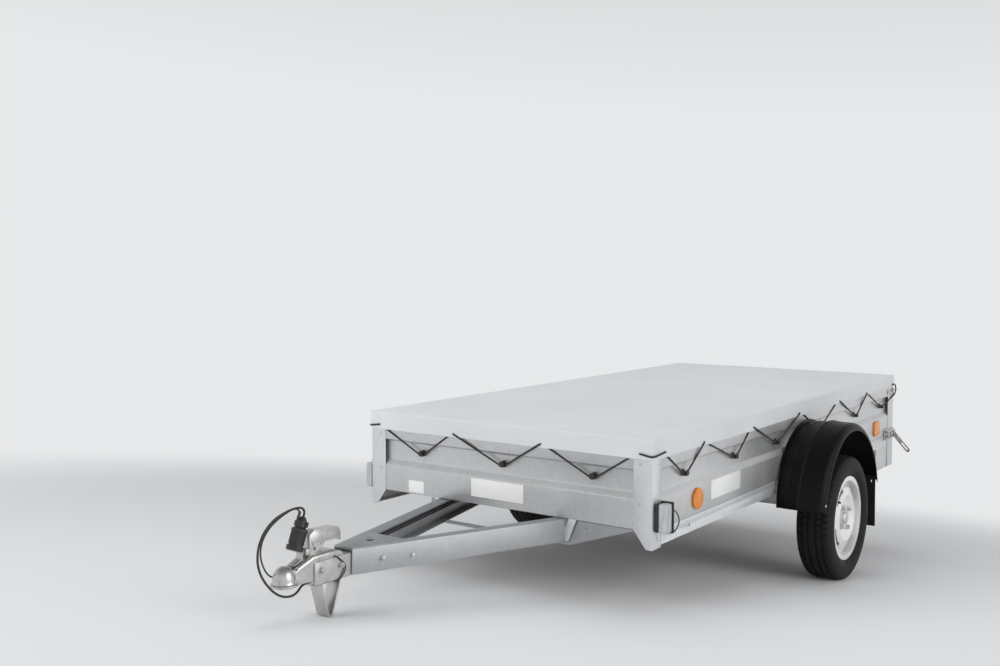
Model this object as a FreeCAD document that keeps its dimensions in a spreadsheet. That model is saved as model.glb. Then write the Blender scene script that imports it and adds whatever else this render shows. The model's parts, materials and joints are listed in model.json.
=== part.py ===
import FreeCAD, Part
import math
import os
import re
import Sketcher

# Single-axle utility trailer with a laced flat cover, parked nose-down on its V-shaped prop foot.
# Every piece is drawn level, as the trailer rides: X across (the side with the positive X is the
# right-hand one), Y rearwards from the wheel centres, Z up from the ground. ParkedFrame then tips
# the whole trailer about its wheels until the prop foot meets the ground. Lengths are millimetres.

Vector = FreeCAD.Vector
doc = FreeCAD.newDocument("UtilityTrailer")
sheet = doc.addObject("Spreadsheet::Sheet", "Sizes")
sizes = {}
terms = {}
pieces = []
cord_labels = []


def add_sizes(group):
    """Enters a group of named sizes."""
    for name, number in group.items():
        row = len(sizes) + 1
        sheet.set(f"A{row}", name)
        sheet.set(f"B{row}", str(number))
        sheet.setAlias(f"B{row}", name)
        sizes[name] = number
    sheet.recompute()


def bound(text):
    """Turns a sum of size names into an expression that follows the sizes."""
    def swap(match):
        word = match.group(0)
        if word in terms:
            return "(" + bound(terms[word]) + ")"
        return "Sizes." + word if word in sizes else word
    return re.sub(r"[a-z][a-z0-9_]*", swap, str(text))


def value(text):
    """The number that a sum of size names stands for."""
    found = sheet.evalExpression(bound(text))
    return float(getattr(found, "Value", found))


def body(label):
    """An empty sub-part with its label."""
    made = doc.addObject("PartDesign::Body", label)
    made.Label = label
    return made


def seat(piece, x=0, y=0, z=0, axis=(0, 0, 1), angle=0):
    """Binds a sub-part's Placement: its place and turn on the level trailer, then the parked pose."""
    own = (f"create(<<placement>>; create(<<vector>>; {bound(x)}; {bound(y)}; {bound(z)}); "
           f"create(<<rotation>>; create(<<vector>>; {axis[0]}; {axis[1]}; {axis[2]}); {bound(angle)}))")
    piece.setExpression("Placement", "ParkedFrame.Placement * " + own)


def keep(piece, *where, **turn):
    """Seats a finished sub-part and lists it for writing."""
    seat(piece, *where, **turn)
    pieces.append(piece)
    return piece


PLANES = {"across": "YZ_Plane", "along": "XZ_Plane", "up": "XY_Plane"}


def sketch(owner, name, normal, start=0):
    """A drawing plane square to X (across), Y (along) or Z (up), at the given place on that axis."""
    made = owner.newObject("Sketcher::SketchObject", name)
    plane = [item for item in owner.Origin.OriginFeatures if item.Role == PLANES[normal]][0]
    made.AttachmentSupport = (plane, [""])
    made.MapMode = "FlatFace"
    sign = "-" if normal == "along" else ""
    made.setExpression("AttachmentOffset.Base.z", f"{sign}({bound(start)})")
    return made


def draw(drawn, points):
    """Adds a closed outline whose corners follow the sizes.

    A third value at a corner makes the side that starts there an arc of that radius. On an
    outline that runs counterclockwise it bulges outwards, or inwards where it is negative.
    """
    first = drawn.GeometryCount
    corners = [Vector(value(corner[0]), value(corner[1]), 0) for corner in points]
    count = len(corners)
    sides = []
    ends = []
    radii = {}
    for i, corner in enumerate(points):
        start, end = corners[i], corners[(i + 1) % count]
        if len(corner) == 2:
            sides.append(Part.LineSegment(start, end))
            ends.append((1, 2))
            continue
        radius = value(corner[2])
        chord = end.sub(start)
        left = Vector(-chord.y, chord.x, 0).normalize()
        rise = math.sqrt(max(radius ** 2 - (chord.Length / 2) ** 2, 0))
        centre = start + chord * 0.5 + left * math.copysign(rise, radius)
        sides.append(Part.Arc(start, centre - left * radius, end))
        ends.append((1, 2) if radius > 0 else (2, 1))
        radii[i] = abs(radius)
    drawn.addGeometry(sides, False)
    for i in range(count):
        after = (i + 1) % count
        drawn.addConstraint(Sketcher.Constraint("Coincident", first + i, ends[i][1], first + after, ends[after][0]))
    for i, corner in enumerate(points):
        for kind, text in zip(("DistanceX", "DistanceY"), corner):
            number = drawn.addConstraint(Sketcher.Constraint(kind, first + i, ends[i][0], value(text)))
            drawn.setExpression(f"Constraints[{number}]", bound(text))
        if i in radii:
            number = drawn.addConstraint(Sketcher.Constraint("Radius", first + i, radii[i]))
            drawn.setExpression(f"Constraints[{number}]", f"abs({bound(corner[2])})")


def draw_circle(drawn, u, v, radius):
    """Adds a circle whose centre and radius follow the sizes."""
    circle = drawn.addGeometry(Part.Circle(Vector(value(u), value(v), 0), Vector(0, 0, 1), value(radius)), False)
    for kind, text, spot in (("DistanceX", u, 3), ("DistanceY", v, 3)):
        number = drawn.addConstraint(Sketcher.Constraint(kind, circle, spot, value(text)))
        drawn.setExpression(f"Constraints[{number}]", bound(text))
    number = drawn.addConstraint(Sketcher.Constraint("Radius", circle, value(radius)))
    drawn.setExpression(f"Constraints[{number}]", bound(radius))


def pad(owner, name, normal, start, length, points=None, circles=()):
    """Pads an outline from its start along the positive axis."""
    drawn = sketch(owner, name + "Outline", normal, start)
    if points:
        draw(drawn, points)
    for circle in circles:
        draw_circle(drawn, *circle)
    made = owner.newObject("PartDesign::Pad", name)
    made.Profile = drawn
    made.Reversed = normal == "along"
    made.setExpression("Length", bound(length))
    return made


def pocket(owner, name, normal, start, length, points=None, circles=()):
    """Cuts an outline from its start along the positive axis."""
    drawn = sketch(owner, name + "Outline", normal, start)
    if points:
        draw(drawn, points)
    for circle in circles:
        draw_circle(drawn, *circle)
    made = owner.newObject("PartDesign::Pocket", name)
    made.Profile = drawn
    made.Reversed = normal != "along"
    made.setExpression("Length", bound(length))
    return made


def mirrored(points, side):
    """The outline of a right-hand piece, or its mirror image for the left-hand one."""
    return [tuple([f"{side} * ({u})", v] + [f"{side} * ({radius})" for radius in arc]) for u, v, *arc in points]


def rounded(left, low, right, high, radius):
    """The outline of a rectangle with round corners."""
    return [
        (f"({left}) + {radius}", low),
        (f"({right}) - {radius}", low, radius),
        (right, f"({low}) + {radius}"),
        (right, f"({high}) - {radius}", radius),
        (f"({right}) - {radius}", high),
        (f"({left}) + {radius}", high, radius),
        (left, f"({high}) - {radius}"),
        (left, f"({low}) + {radius}", radius),
    ]


def span(side, low, high):
    """Start and length of a slab that runs from low to high on the given side."""
    start = low if side > 0 else f"-({high})"
    return start, f"({high}) - ({low})"


SIDES = (("left", -1), ("right", 1))

# Driving sizes of the whole trailer
trailer_sizes = {
    "box_length": 2736,
    "box_width": 1276,
    "wall_height": 313,
    "deck_height": 465,
    "axle_setback": 1439,
    "drawbar_length": 823,
    "wheel_radius": 270,
    "wheel_offset": 126,
    "sheet_steel": 1.5,
    "fit_gap": 1,
    "swing_gap": 5,
    "seat_gap": 0.3,
    "overrun": 10,
}
add_sizes(trailer_sizes)
terms.update({
    "front_face": "-axle_setback",
    "rear_face": "box_length - axle_setback",
    "half_width": "box_width / 2",
    "wall_top": "deck_height + wall_height",
    "wheel_plane": "half_width + wheel_offset",
    "drawbar_front": "axle_setback + drawbar_length",
})
parked = doc.addObject("App::Placement", "ParkedFrame")

# Pressed C-section side rails
rail_sizes = {
    "rail_height": 55,
    "rail_flange": 30,
    "rail_steel": 2,
    "post_steel": 2,
    "rail_hole": 5,
    "rail_hole_drop": 29,
    "rail_hole_first": 176,
    "rail_hole_second": 287,
}
add_sizes(rail_sizes)
terms.update({
    "skin": "half_width - post_steel",
    "rail_bottom": "deck_height - rail_height",
})


def side_rail(name, side):
    rail = body(f"side_rail_{name}")
    outline = [
        ("skin", "rail_bottom"),
        ("skin", "deck_height"),
        ("skin - rail_flange", "deck_height"),
        ("skin - rail_flange", "deck_height - rail_steel"),
        ("skin - rail_steel", "deck_height - rail_steel"),
        ("skin - rail_steel", "rail_bottom + rail_steel"),
        ("skin - rail_flange", "rail_bottom + rail_steel"),
        ("skin - rail_flange", "rail_bottom"),
    ]
    pad(rail, "RailProfile", "along", "front_face + post_steel + fit_gap",
        "box_length - 2 * (post_steel + fit_gap)", mirrored(outline, side))
    start, length = span(side, "skin - rail_steel - fit_gap", "half_width")
    pocket(rail, "TieHoles", "across", start, length,
           circles=[(f"front_face + {setback}", "deck_height - rail_hole_drop", "rail_hole")
                    for setback in ("rail_hole_first", "rail_hole_second")])
    keep(rail)


for name, side in SIDES:
    side_rail(name, side)

# Profiled sheet walls: a flat band at the foot, a sloping ledge, a recess and a flat top band
wall_sizes = {
    "ledge_low": 104,
    "ledge_high": 138,
    "recess_depth": 15,
    "band_low": 207,
    "band_ramp": 5,
    "wall_flange": 25,
}
add_sizes(wall_sizes)


def wall_outline(top="wall_height"):
    """The wall's section: depth in from its face, height above its lower edge."""
    return [
        ("0", "0"),
        ("0", "ledge_low"),
        ("recess_depth", "ledge_high"),
        ("recess_depth", "band_low"),
        ("0", "band_low + band_ramp"),
        ("0", top),
        ("wall_flange", top),
        ("wall_flange", f"{top} - sheet_steel"),
        ("sheet_steel", f"{top} - sheet_steel"),
        ("sheet_steel", "band_low + band_ramp + sheet_steel"),
        ("recess_depth + sheet_steel", "band_low"),
        ("recess_depth + sheet_steel", "ledge_high"),
        ("sheet_steel", "ledge_low"),
        ("sheet_steel", "sheet_steel"),
        ("wall_flange", "sheet_steel"),
        ("wall_flange", "0"),
    ]


side_panels = {}


def side_panel(name, side):
    panel = body(f"side_panel_{name}")
    outline = [(f"{side} * (skin - ({u}))", f"deck_height + ({v})") for u, v in wall_outline()]
    pad(panel, "PanelProfile", "along", "front_face + post_steel + wall_flange + fit_gap",
        "box_length - 2 * post_steel - wall_flange - 2 * fit_gap", outline)
    side_panels[name] = keep(panel)


for name, side in SIDES:
    side_panel(name, side)

front_panel = body("front_panel")
pad(front_panel, "PanelProfile", "across", "-skin", "2 * skin",
    [(f"front_face + post_steel + ({u})", f"deck_height + ({v})") for u, v in wall_outline()])
keep(front_panel)

# Floor board, laid on the lower flanges of the walls
floor_sizes = {"floor_thickness": 9}
add_sizes(floor_sizes)
terms.update({
    "floor_bottom": "deck_height + sheet_steel",
    "floor_front": "front_face + post_steel + sheet_steel + fit_gap",
    "floor_rear": "rear_face - wall_flange - swing_gap - fit_gap",
    "floor_side": "skin - sheet_steel - fit_gap",
})
floor = body("floor_board")
pad(floor, "Board", "up", "floor_bottom", "floor_thickness", [
    ("-(floor_side)", "floor_front"),
    ("floor_side", "floor_front"),
    ("floor_side", "floor_rear"),
    ("-(floor_side)", "floor_rear"),
])
keep(floor)

# Corner posts, folded angles outside the walls
post_sizes = {
    "front_post_face": 72,
    "front_post_side": 65,
    "front_post_drop": 63,
    "front_post_foot": 25,
    "front_post_hole_setback": 41,
    "front_post_hole_drop": 37,
    "rear_post_face": 35,
    "rear_post_side": 90,
    "rear_post_drop": 170,
}
add_sizes(post_sizes)
terms.update({
    "front_post_bottom": "deck_height - front_post_drop",
    "rear_post_bottom": "deck_height - rear_post_drop",
})


def front_post(owner, name, side):
    """Front face with its slanted foot, and the side face folded back from it."""
    pad(owner, f"Face{name}", "along", "front_face", "post_steel", mirrored([
        ("half_width", "front_post_bottom"),
        ("half_width", "wall_top"),
        ("half_width - front_post_face", "wall_top"),
        ("half_width - front_post_face", "deck_height"),
        ("half_width - front_post_foot", "front_post_bottom"),
    ], side))
    start, length = span(side, "skin", "half_width")
    pad(owner, f"Return{name}", "across", start, length, [
        ("front_face", "front_post_bottom"),
        ("front_face + front_post_side", "front_post_bottom"),
        ("front_face + front_post_side", "wall_top"),
        ("front_face", "wall_top"),
    ])
    pocket(owner, f"TieHole{name}", "across", start, length,
           circles=[("front_face + front_post_hole_setback", "deck_height - front_post_hole_drop", "rail_hole")])


def rear_post(owner, name, side):
    """Rear face beside the tailgate, and the wide side face folded forward from it."""
    start, length = span(side, "half_width - rear_post_face", "half_width")
    pad(owner, f"Face{name}", "across", start, length, [
        ("rear_face - post_steel", "rear_post_bottom"),
        ("rear_face", "rear_post_bottom"),
        ("rear_face", "wall_top"),
        ("rear_face - post_steel", "wall_top"),
    ])
    start, length = span(side, "skin", "half_width")
    pad(owner, f"Return{name}", "across", start, length, [
        ("rear_face - rear_post_side", "rear_post_bottom"),
        ("rear_face", "rear_post_bottom"),
        ("rear_face", "wall_top"),
        ("rear_face - rear_post_side", "wall_top"),
    ])


front_posts = body("front_corner_posts")
rear_posts = body("rear_corner_posts")
for name, side in SIDES:
    front_post(front_posts, name.capitalize(), side)
    rear_post(rear_posts, name.capitalize(), side)
keep(front_posts)
keep(rear_posts)

# Cross-members under the floor
crossmember_sizes = {
    "member_depth": 40,
    "member_flange": 45,
    "member_steel": 2,
    "drawbar_member_setback": 500,
    "drawbar_member_depth": 49,
    "floor_member_front": 300,
    "floor_member_rear": 560,
    "rear_member_inset": 60,
}
add_sizes(crossmember_sizes)
terms["rail_bay"] = "skin - rail_steel - fit_gap"


def channel(owner, name, centre, depth="member_depth"):
    """A downward-open channel across the frame, between the side rails."""
    top = "deck_height - rail_steel - fit_gap"
    back = f"({centre}) + member_flange / 2"
    front = f"({centre}) - member_flange / 2"
    pad(owner, name, "across", "-(rail_bay)", "2 * (rail_bay)", [
        (front, f"{top} - {depth}"),
        (front, top),
        (back, top),
        (back, f"{top} - {depth}"),
        (f"{back} - member_steel", f"{top} - {depth}"),
        (f"{back} - member_steel", f"{top} - member_steel"),
        (f"{front} + member_steel", f"{top} - member_steel"),
        (f"{front} + member_steel", f"{top} - {depth}"),
    ])


drawbar_member = body("drawbar_crossmember")
channel(drawbar_member, "Channel", "front_face + drawbar_member_setback", "drawbar_member_depth")
keep(drawbar_member)
for label, centre in (("floor_crossmember_front", "-floor_member_front"),
                      ("floor_crossmember_rear", "floor_member_rear"),
                      ("rear_crossmember", "rear_face - rear_member_inset")):
    member = body(label)
    channel(member, "Channel", centre)
    keep(member)

# Drawbar: two C-section beams that spread from the coupling and fall slightly towards the box
drawbar_sizes = {
    "drawbar_front_half": 40,
    "drawbar_spread": 17,
    "drawbar_slope": 1.85,
    "drawbar_height": 80,
    "drawbar_flange": 45,
    "drawbar_steel": 4,
    "drawbar_mitre_gap": 0.5,
}
add_sizes(drawbar_sizes)
terms.update({
    "drawbar_bottom": "rail_bottom",
    "drawbar_rear_run": "(drawbar_length + drawbar_member_setback - member_flange / 2 - seat_gap "
                        "- drawbar_height * sin(drawbar_slope)) / cos(drawbar_slope)",
    "flange_run": "drawbar_flange / cos(drawbar_spread)",
    "web_run": "drawbar_steel / cos(drawbar_spread)",
    "mitre_start": "(drawbar_mitre_gap + flange_run - drawbar_front_half) / tan(drawbar_spread)",
})


def drawbar_beam(name, side):
    """Drawn from its front end: X across from the centreline, Y rearwards, Z up from its lower edge."""
    beam = body(f"drawbar_beam_{name}")
    rear_x = "drawbar_front_half + drawbar_rear_run * tan(drawbar_spread)"
    web = [
        ("drawbar_front_half", "0"),
        (rear_x, "drawbar_rear_run"),
        (f"{rear_x} - web_run", "drawbar_rear_run"),
        ("drawbar_front_half - web_run", "0"),
    ]
    flange = [
        ("drawbar_front_half", "0"),
        (rear_x, "drawbar_rear_run"),
        (f"{rear_x} - flange_run", "drawbar_rear_run"),
        ("drawbar_mitre_gap", "mitre_start"),
        ("drawbar_mitre_gap", "0"),
    ]
    pad(beam, "Web", "up", 0, "drawbar_height", mirrored(web, side))
    pad(beam, "LowerFlange", "up", 0, "drawbar_steel", mirrored(flange, side))
    pad(beam, "UpperFlange", "up", "drawbar_height - drawbar_steel", "drawbar_steel",
        mirrored(flange, side))
    keep(beam, 0, "-drawbar_front", "drawbar_bottom", axis=(1, 0, 0), angle="-drawbar_slope")


for name, side in SIDES:
    drawbar_beam(name, side)

# Front sill: a plate behind the front panel's foot, notched for the beams, which rest on its strap
sill_sizes = {
    "sill_back": 6,
    "sill_steel": 3,
    "sill_opening_gap": 12.5,
    "sill_opening_lean": 11,
    "sill_strap_depth": 12,
    "sill_shoulder_drop": 35,
    "sill_shoulder_inset": 38,
    "sill_lip": 36,
}
add_sizes(sill_sizes)
terms.update({
    "sill_front": "front_face + sill_back",
    "sill_top": "deck_height - rail_steel - fit_gap",
    "sill_opening_foot": "drawbar_front_half + (drawbar_length + sill_back) * tan(drawbar_spread) "
                         "+ sill_opening_gap",
    "sill_strap_high": "drawbar_bottom - (drawbar_length + sill_back + sill_steel) * tan(drawbar_slope) "
                       "- seat_gap",
    "sill_strap_low": "sill_strap_high - sill_strap_depth",
    "sill_shoulder": "deck_height - sill_shoulder_drop",
})
sill = body("front_sill")
right_half = [
    ("sill_opening_foot", "sill_strap_high"),
    ("sill_opening_foot + sill_opening_lean", "sill_top"),
    ("rail_bay", "sill_top"),
    ("rail_bay", "sill_shoulder"),
    ("half_width - sill_shoulder_inset", "sill_shoulder"),
    ("half_width - front_post_face", "sill_top - sill_steel"),
    ("sill_opening_foot", "sill_strap_low"),
]
left_half = [(f"-({u})", v) for u, v in reversed(right_half)]
pad(sill, "SillFace", "along", "sill_front", "sill_steel", right_half + left_half)
pad(sill, "SillLip", "up", "sill_strap_low", "sill_steel", [
    ("-(sill_opening_foot)", "sill_front"),
    ("sill_opening_foot", "sill_front"),
    ("sill_opening_foot", "sill_front + sill_lip"),
    ("-(sill_opening_foot)", "sill_front + sill_lip"),
])
keep(sill)

# Gusset plate on top of the two beams behind the coupling
gusset_sizes = {
    "gusset_length": 205,
    "gusset_steel": 3,
    "gusset_inset": 4,
    "gusset_hole": 14,
    "gusset_hole_back": 120,
}
add_sizes(gusset_sizes)
gusset = body("drawbar_gusset")
pad(gusset, "Plate", "up", "drawbar_height", "gusset_steel", [
    ("drawbar_front_half - gusset_inset", "0"),
    ("drawbar_front_half - gusset_inset + gusset_length * tan(drawbar_spread)", "gusset_length"),
    ("-(drawbar_front_half - gusset_inset + gusset_length * tan(drawbar_spread))", "gusset_length"),
    ("-(drawbar_front_half - gusset_inset)", "0"),
])
pocket(gusset, "CableHole", "up", "drawbar_height - overrun", "gusset_steel + 2 * overrun",
       circles=[("0", "gusset_hole_back", "gusset_hole")])
keep(gusset, 0, "-drawbar_front", "drawbar_bottom", axis=(1, 0, 0), angle="-drawbar_slope")

# Drawbar head: the trough that joins the beams and takes the coupling, with the safety cable's lug
head_sizes = {
    "head_length": 152,
    "head_half": 36,
    "head_wall": 5,
    "head_lap": 3,
    "head_height": 73,
    "head_round": 8,
    "lug_setback": 19,
    "lug_length": 12,
    "lug_reach": 18,
    "lug_rise": 38,
    "lug_height": 12,
}
add_sizes(head_sizes)
terms.update({
    "head_bottom": "drawbar_bottom - head_lap",
    "head_top": "head_bottom + head_height",
    "head_rear": "-drawbar_front - seat_gap",
    "head_front": "head_rear - head_length",
    "head_inner": "head_half - head_wall",
})
head = body("drawbar_head")
pad(head, "Trough", "along", "head_front", "head_length", [
    ("-(head_half - head_round)", "head_bottom"),
    ("head_half - head_round", "head_bottom", "head_round"),
    ("head_half", "head_bottom + head_round"),
    ("head_half", "head_top"),
    ("head_inner", "head_top"),
    ("head_inner", "head_bottom + head_round", "-(head_round - head_wall)"),
    ("head_half - head_round", "head_bottom + head_wall"),
    ("-(head_half - head_round)", "head_bottom + head_wall", "-(head_round - head_wall)"),
    ("-(head_inner)", "head_bottom + head_round"),
    ("-(head_inner)", "head_top"),
    ("-head_half", "head_top"),
    ("-head_half", "head_bottom + head_round", "head_round"),
])
pad(head, "RearWall", "along", "head_rear - head_wall", "head_wall", [
    ("-(head_inner) - head_wall / 2", "head_bottom + head_round"),
    ("head_inner + head_wall / 2", "head_bottom + head_round"),
    ("head_inner + head_wall / 2", "head_top"),
    ("-(head_inner) - head_wall / 2", "head_top"),
])
pad(head, "AnchorLug", "across", "-head_half - lug_reach", "lug_reach", [
    ("head_front + lug_setback", "head_bottom + lug_rise"),
    ("head_front + lug_setback + lug_length", "head_bottom + lug_rise"),
    ("head_front + lug_setback + lug_length", "head_bottom + lug_rise + lug_height"),
    ("head_front + lug_setback", "head_bottom + lug_rise + lug_height"),
])
keep(head)

# Prop foot: one flat bar folded to a V under the drawbar head, whose place fixes the parked pose
foot_sizes = {
    "foot_ahead": 78,
    "foot_depth": 112,
    "foot_width": 60,
    "foot_steel": 6,
    "foot_bend": 12,
    "foot_front_reach": 40,
    "foot_rear_reach": 48,
}
add_sizes(foot_sizes)
terms.update({
    "foot_setback": "drawbar_front + foot_ahead",
    "foot_bottom": "head_bottom - foot_depth",
    "foot_top": "head_bottom - seat_gap",
    "foot_bend_height": "foot_bottom + foot_bend",
})
drop = value("foot_bend_height - wheel_radius")
reach = value("foot_setback")
tip = math.degrees(math.asin(value("wheel_radius - foot_bend") / math.hypot(reach, drop))
                   + math.atan2(drop, reach))
tipped = FreeCAD.Rotation(Vector(1, 0, 0), tip)
parked.Placement = FreeCAD.Placement(Vector(0, 0, 0), tipped, Vector(0, 0, value("wheel_radius")))


def prop_foot():
    """The bar's outer and inner edges in side view, with the fold as an arc, padded to its width."""
    bend = value("foot_bend")
    inner = value("foot_bend - foot_steel")
    centre = Vector(0, -reach, value("foot_bend_height"))
    top = value("foot_top")
    front = Vector(0, -reach - value("foot_front_reach"), top)
    rear = Vector(0, -reach + value("foot_rear_reach"), top)

    def tangent(point, radius, turn):
        """Where the line from a point touches the fold, on the side that turn gives."""
        run = point.sub(centre)
        distance = run.Length
        lean = math.acos(radius / distance)
        start = math.atan2(run.z, run.y)
        angle = start + turn * lean
        return centre + Vector(0, math.cos(angle) * radius, math.sin(angle) * radius)

    thick = bend - inner
    front_inner = front + Vector(0, thick, 0)
    rear_inner = rear - Vector(0, thick, 0)
    outer_front = tangent(front, bend, 1)
    outer_rear = tangent(rear, bend, -1)
    inner_front = tangent(front_inner, inner, 1)
    inner_rear = tangent(rear_inner, inner, -1)
    low_outer = centre - Vector(0, 0, bend)
    low_inner = centre - Vector(0, 0, inner)
    wire = Part.Wire([
        Part.LineSegment(front, outer_front).toShape(),
        Part.Arc(outer_front, low_outer, outer_rear).toShape(),
        Part.LineSegment(outer_rear, rear).toShape(),
        Part.LineSegment(rear, rear_inner).toShape(),
        Part.LineSegment(rear_inner, inner_rear).toShape(),
        Part.Arc(inner_rear, low_inner, inner_front).toShape(),
        Part.LineSegment(inner_front, front_inner).toShape(),
        Part.LineSegment(front_inner, front).toShape(),
    ])
    foot = doc.addObject("Part::Feature", "prop_foot")
    foot.Label = "prop_foot"
    foot.Shape = Part.Face(wire).extrude(Vector(value("foot_width"), 0, 0))
    keep(foot, "-foot_width / 2")


prop_foot()

# Ball coupling: a round pressed nose over the ball socket, a neck that rises to the rear, and a tail
# that lies in the drawbar head
coupling_sizes = {
    "ball_ahead": 90,
    "ball_radius": 25,
    "nose_radius": 40,
    "nose_rise": 20,
    "nose_rim_height": 8,
    "nose_flare_height": 24,
    "dome_radius": 33,
    "dome_height": 57,
    "dome_round": 12,
    "socket_clearance": 0.6,
    "neck_half": 27,
    "neck_height": 42,
    "neck_round": 14,
    "coupling_height": 75,
    "coupling_round": 12,
    "tail_round": 10,
    "coupling_wall": 4,
    "channel_height": 34,
    "tail_length": 134,
    "roof_run": 50,
    "roof_fall": 38,
    "gland_offset": 10,
    "gland_radius": 6,
    "gland_length": 10,
    "gland_rise": 7.2,
}
add_sizes(coupling_sizes)
terms.update({
    "ball_setback": "ball_ahead - (head_front)",
    "nose_bottom": "head_bottom + nose_rise",
    "dome_top": "nose_bottom + dome_height",
    "coupling_top": "nose_bottom + coupling_height",
    "coupling_half": "head_inner - seat_gap",
    "coupling_seat": "head_bottom + head_wall + seat_gap",
    "tail_end": "head_front + tail_length",
    "roof_radius": "(roof_run * roof_run + roof_fall * roof_fall) / (2 * roof_fall)",
    "gland_height": "coupling_seat + gland_rise",
})


def tail_section():
    """The tail's section: round edges above and below, to lie in the trough."""
    return rounded("-(coupling_half)", "coupling_seat", "coupling_half", "coupling_top", "tail_round")


def hood(half, low, high, radius):
    """The neck's section: upright sides and a flat roof with round edges."""
    return [
        (f"-({half})", low),
        (half, low),
        (half, f"{high} - {radius}", radius),
        (f"{half} - {radius}", high),
        (f"-({half} - {radius})", high, radius),
        (f"-({half})", f"{high} - {radius}"),
    ]


def coupling_body():
    """The nose is turned about the ball, the neck is lofted to the tail, and the socket is cut."""
    coupling = body("coupling_body")
    turned(coupling, "Nose", "-ball_setback", [
        ("0", "nose_bottom"),
        ("nose_radius", "nose_bottom"),
        ("nose_radius", "nose_bottom + nose_rim_height"),
        ("dome_radius", "nose_bottom + nose_flare_height"),
        ("dome_radius", "dome_top - dome_round", "dome_round"),
        ("dome_radius - dome_round", "dome_top"),
        ("0", "dome_top"),
    ])
    front = sketch(coupling, "NeckFront", "along", "-ball_setback")
    draw(front, hood("neck_half", "nose_bottom", "(nose_bottom + neck_height)", "neck_round"))
    rear = sketch(coupling, "NeckRear", "along", "head_front")
    draw(rear, hood("coupling_half", "nose_bottom", "coupling_top", "coupling_round"))
    neck = coupling.newObject("PartDesign::AdditiveLoft", "Neck")
    neck.Profile = front
    neck.Sections = [rear]
    neck.Ruled = True
    pad(coupling, "Tail", "along", "head_front", "tail_length", tail_section())
    pad(coupling, "CableGland", "along", "head_front - gland_length", "gland_length + fit_gap",
        circles=[("gland_offset", "gland_height", "gland_radius")])
    pocket(coupling, "RoofCurve", "across", "-(coupling_half) - overrun", "2 * (coupling_half + overrun)", [
        ("tail_end - roof_run", "coupling_top", "-(roof_radius)"),
        ("tail_end", "coupling_top - roof_fall"),
        ("tail_end + overrun", "coupling_top - roof_fall"),
        ("tail_end + overrun", "coupling_top + overrun"),
        ("tail_end - roof_run", "coupling_top + overrun"),
    ])
    pocket(coupling, "Socket", "up", "nose_bottom - overrun", "dome_top - coupling_wall - (nose_bottom) + overrun",
           circles=[("0", "-ball_setback", "ball_radius + socket_clearance")])
    pocket(coupling, "NeckChannel", "up", "nose_bottom - overrun", "channel_height + overrun", [
        ("-(neck_half - coupling_wall)", "-ball_setback + ball_radius + socket_clearance + coupling_wall"),
        ("neck_half - coupling_wall", "-ball_setback + ball_radius + socket_clearance + coupling_wall"),
        ("neck_half - coupling_wall", "head_front - coupling_wall"),
        ("-(neck_half - coupling_wall)", "head_front - coupling_wall"),
    ])
    keep(coupling)


def turned(owner, name, place, points):
    """A round piece turned about an upright line from its half section."""
    drawn = sketch(owner, name + "Section", "along", place)
    draw(drawn, points)
    made = owner.newObject("PartDesign::Revolution", name)
    made.Profile = drawn
    made.ReferenceAxis = (drawn, ["V_Axis"])
    made.Angle = 360
    return made


coupling_body()

# Coupling lever: a pressed channel, open below, with cheeks down to its pivot and a catch ahead of it
handle_sizes = {
    "handle_half": 14,
    "handle_steel": 3,
    "handle_length": 130,
    "handle_height": 72,
    "cheek_hole": 4.5,
    "catch_half": 12,
    "catch_length": 14,
    "catch_height": 18,
}
add_sizes(handle_sizes)
terms["handle_seat"] = "coupling_top + seat_gap"
lever_shares = ((0, 0), (0.36, 0), (0.38, 0.1), (0.48, 0.4), (0.82, 0.38), (1, 0.28), (1, 0.66),
                (0.93, 0.86), (0.76, 0.96), (0.35, 0.97), (0.16, 1), (0, 0.8))
lever_hollow_shares = ((0.03, -0.2), (0.97, -0.2), (0.97, 0.64), (0.9, 0.81), (0.75, 0.91), (0.35, 0.92),
                       (0.17, 0.95), (0.03, 0.77))
cheek_hole_shares = ((0.11, 0.43), (0.315, 0.35), (0.156, 0.2))


def on_lever(shares):
    """Places on the lever's side view from shares of its length and height."""
    return [(f"head_front + handle_length * {along}", f"handle_seat + handle_height * {up}")
            for along, up in shares]


handle = body("coupling_handle")
pad(handle, "Lever", "across", "-handle_half", "2 * handle_half", on_lever(lever_shares))
pocket(handle, "LeverHollow", "across", "-(handle_half - handle_steel)", "2 * (handle_half - handle_steel)",
       on_lever(lever_hollow_shares))
pocket(handle, "CheekHoles", "across", "-handle_half - overrun", "2 * (handle_half + overrun)",
       circles=[(u, v, "cheek_hole") for u, v in on_lever(cheek_hole_shares)])
pad(handle, "Catch", "across", "-catch_half", "2 * catch_half", [
    ("head_front - catch_length", "handle_seat"),
    ("head_front + handle_steel / 2", "handle_seat"),
    ("head_front + handle_steel / 2", "handle_seat + catch_height"),
    ("head_front - catch_length", "handle_seat + catch_height"),
])
keep(handle)

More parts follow.
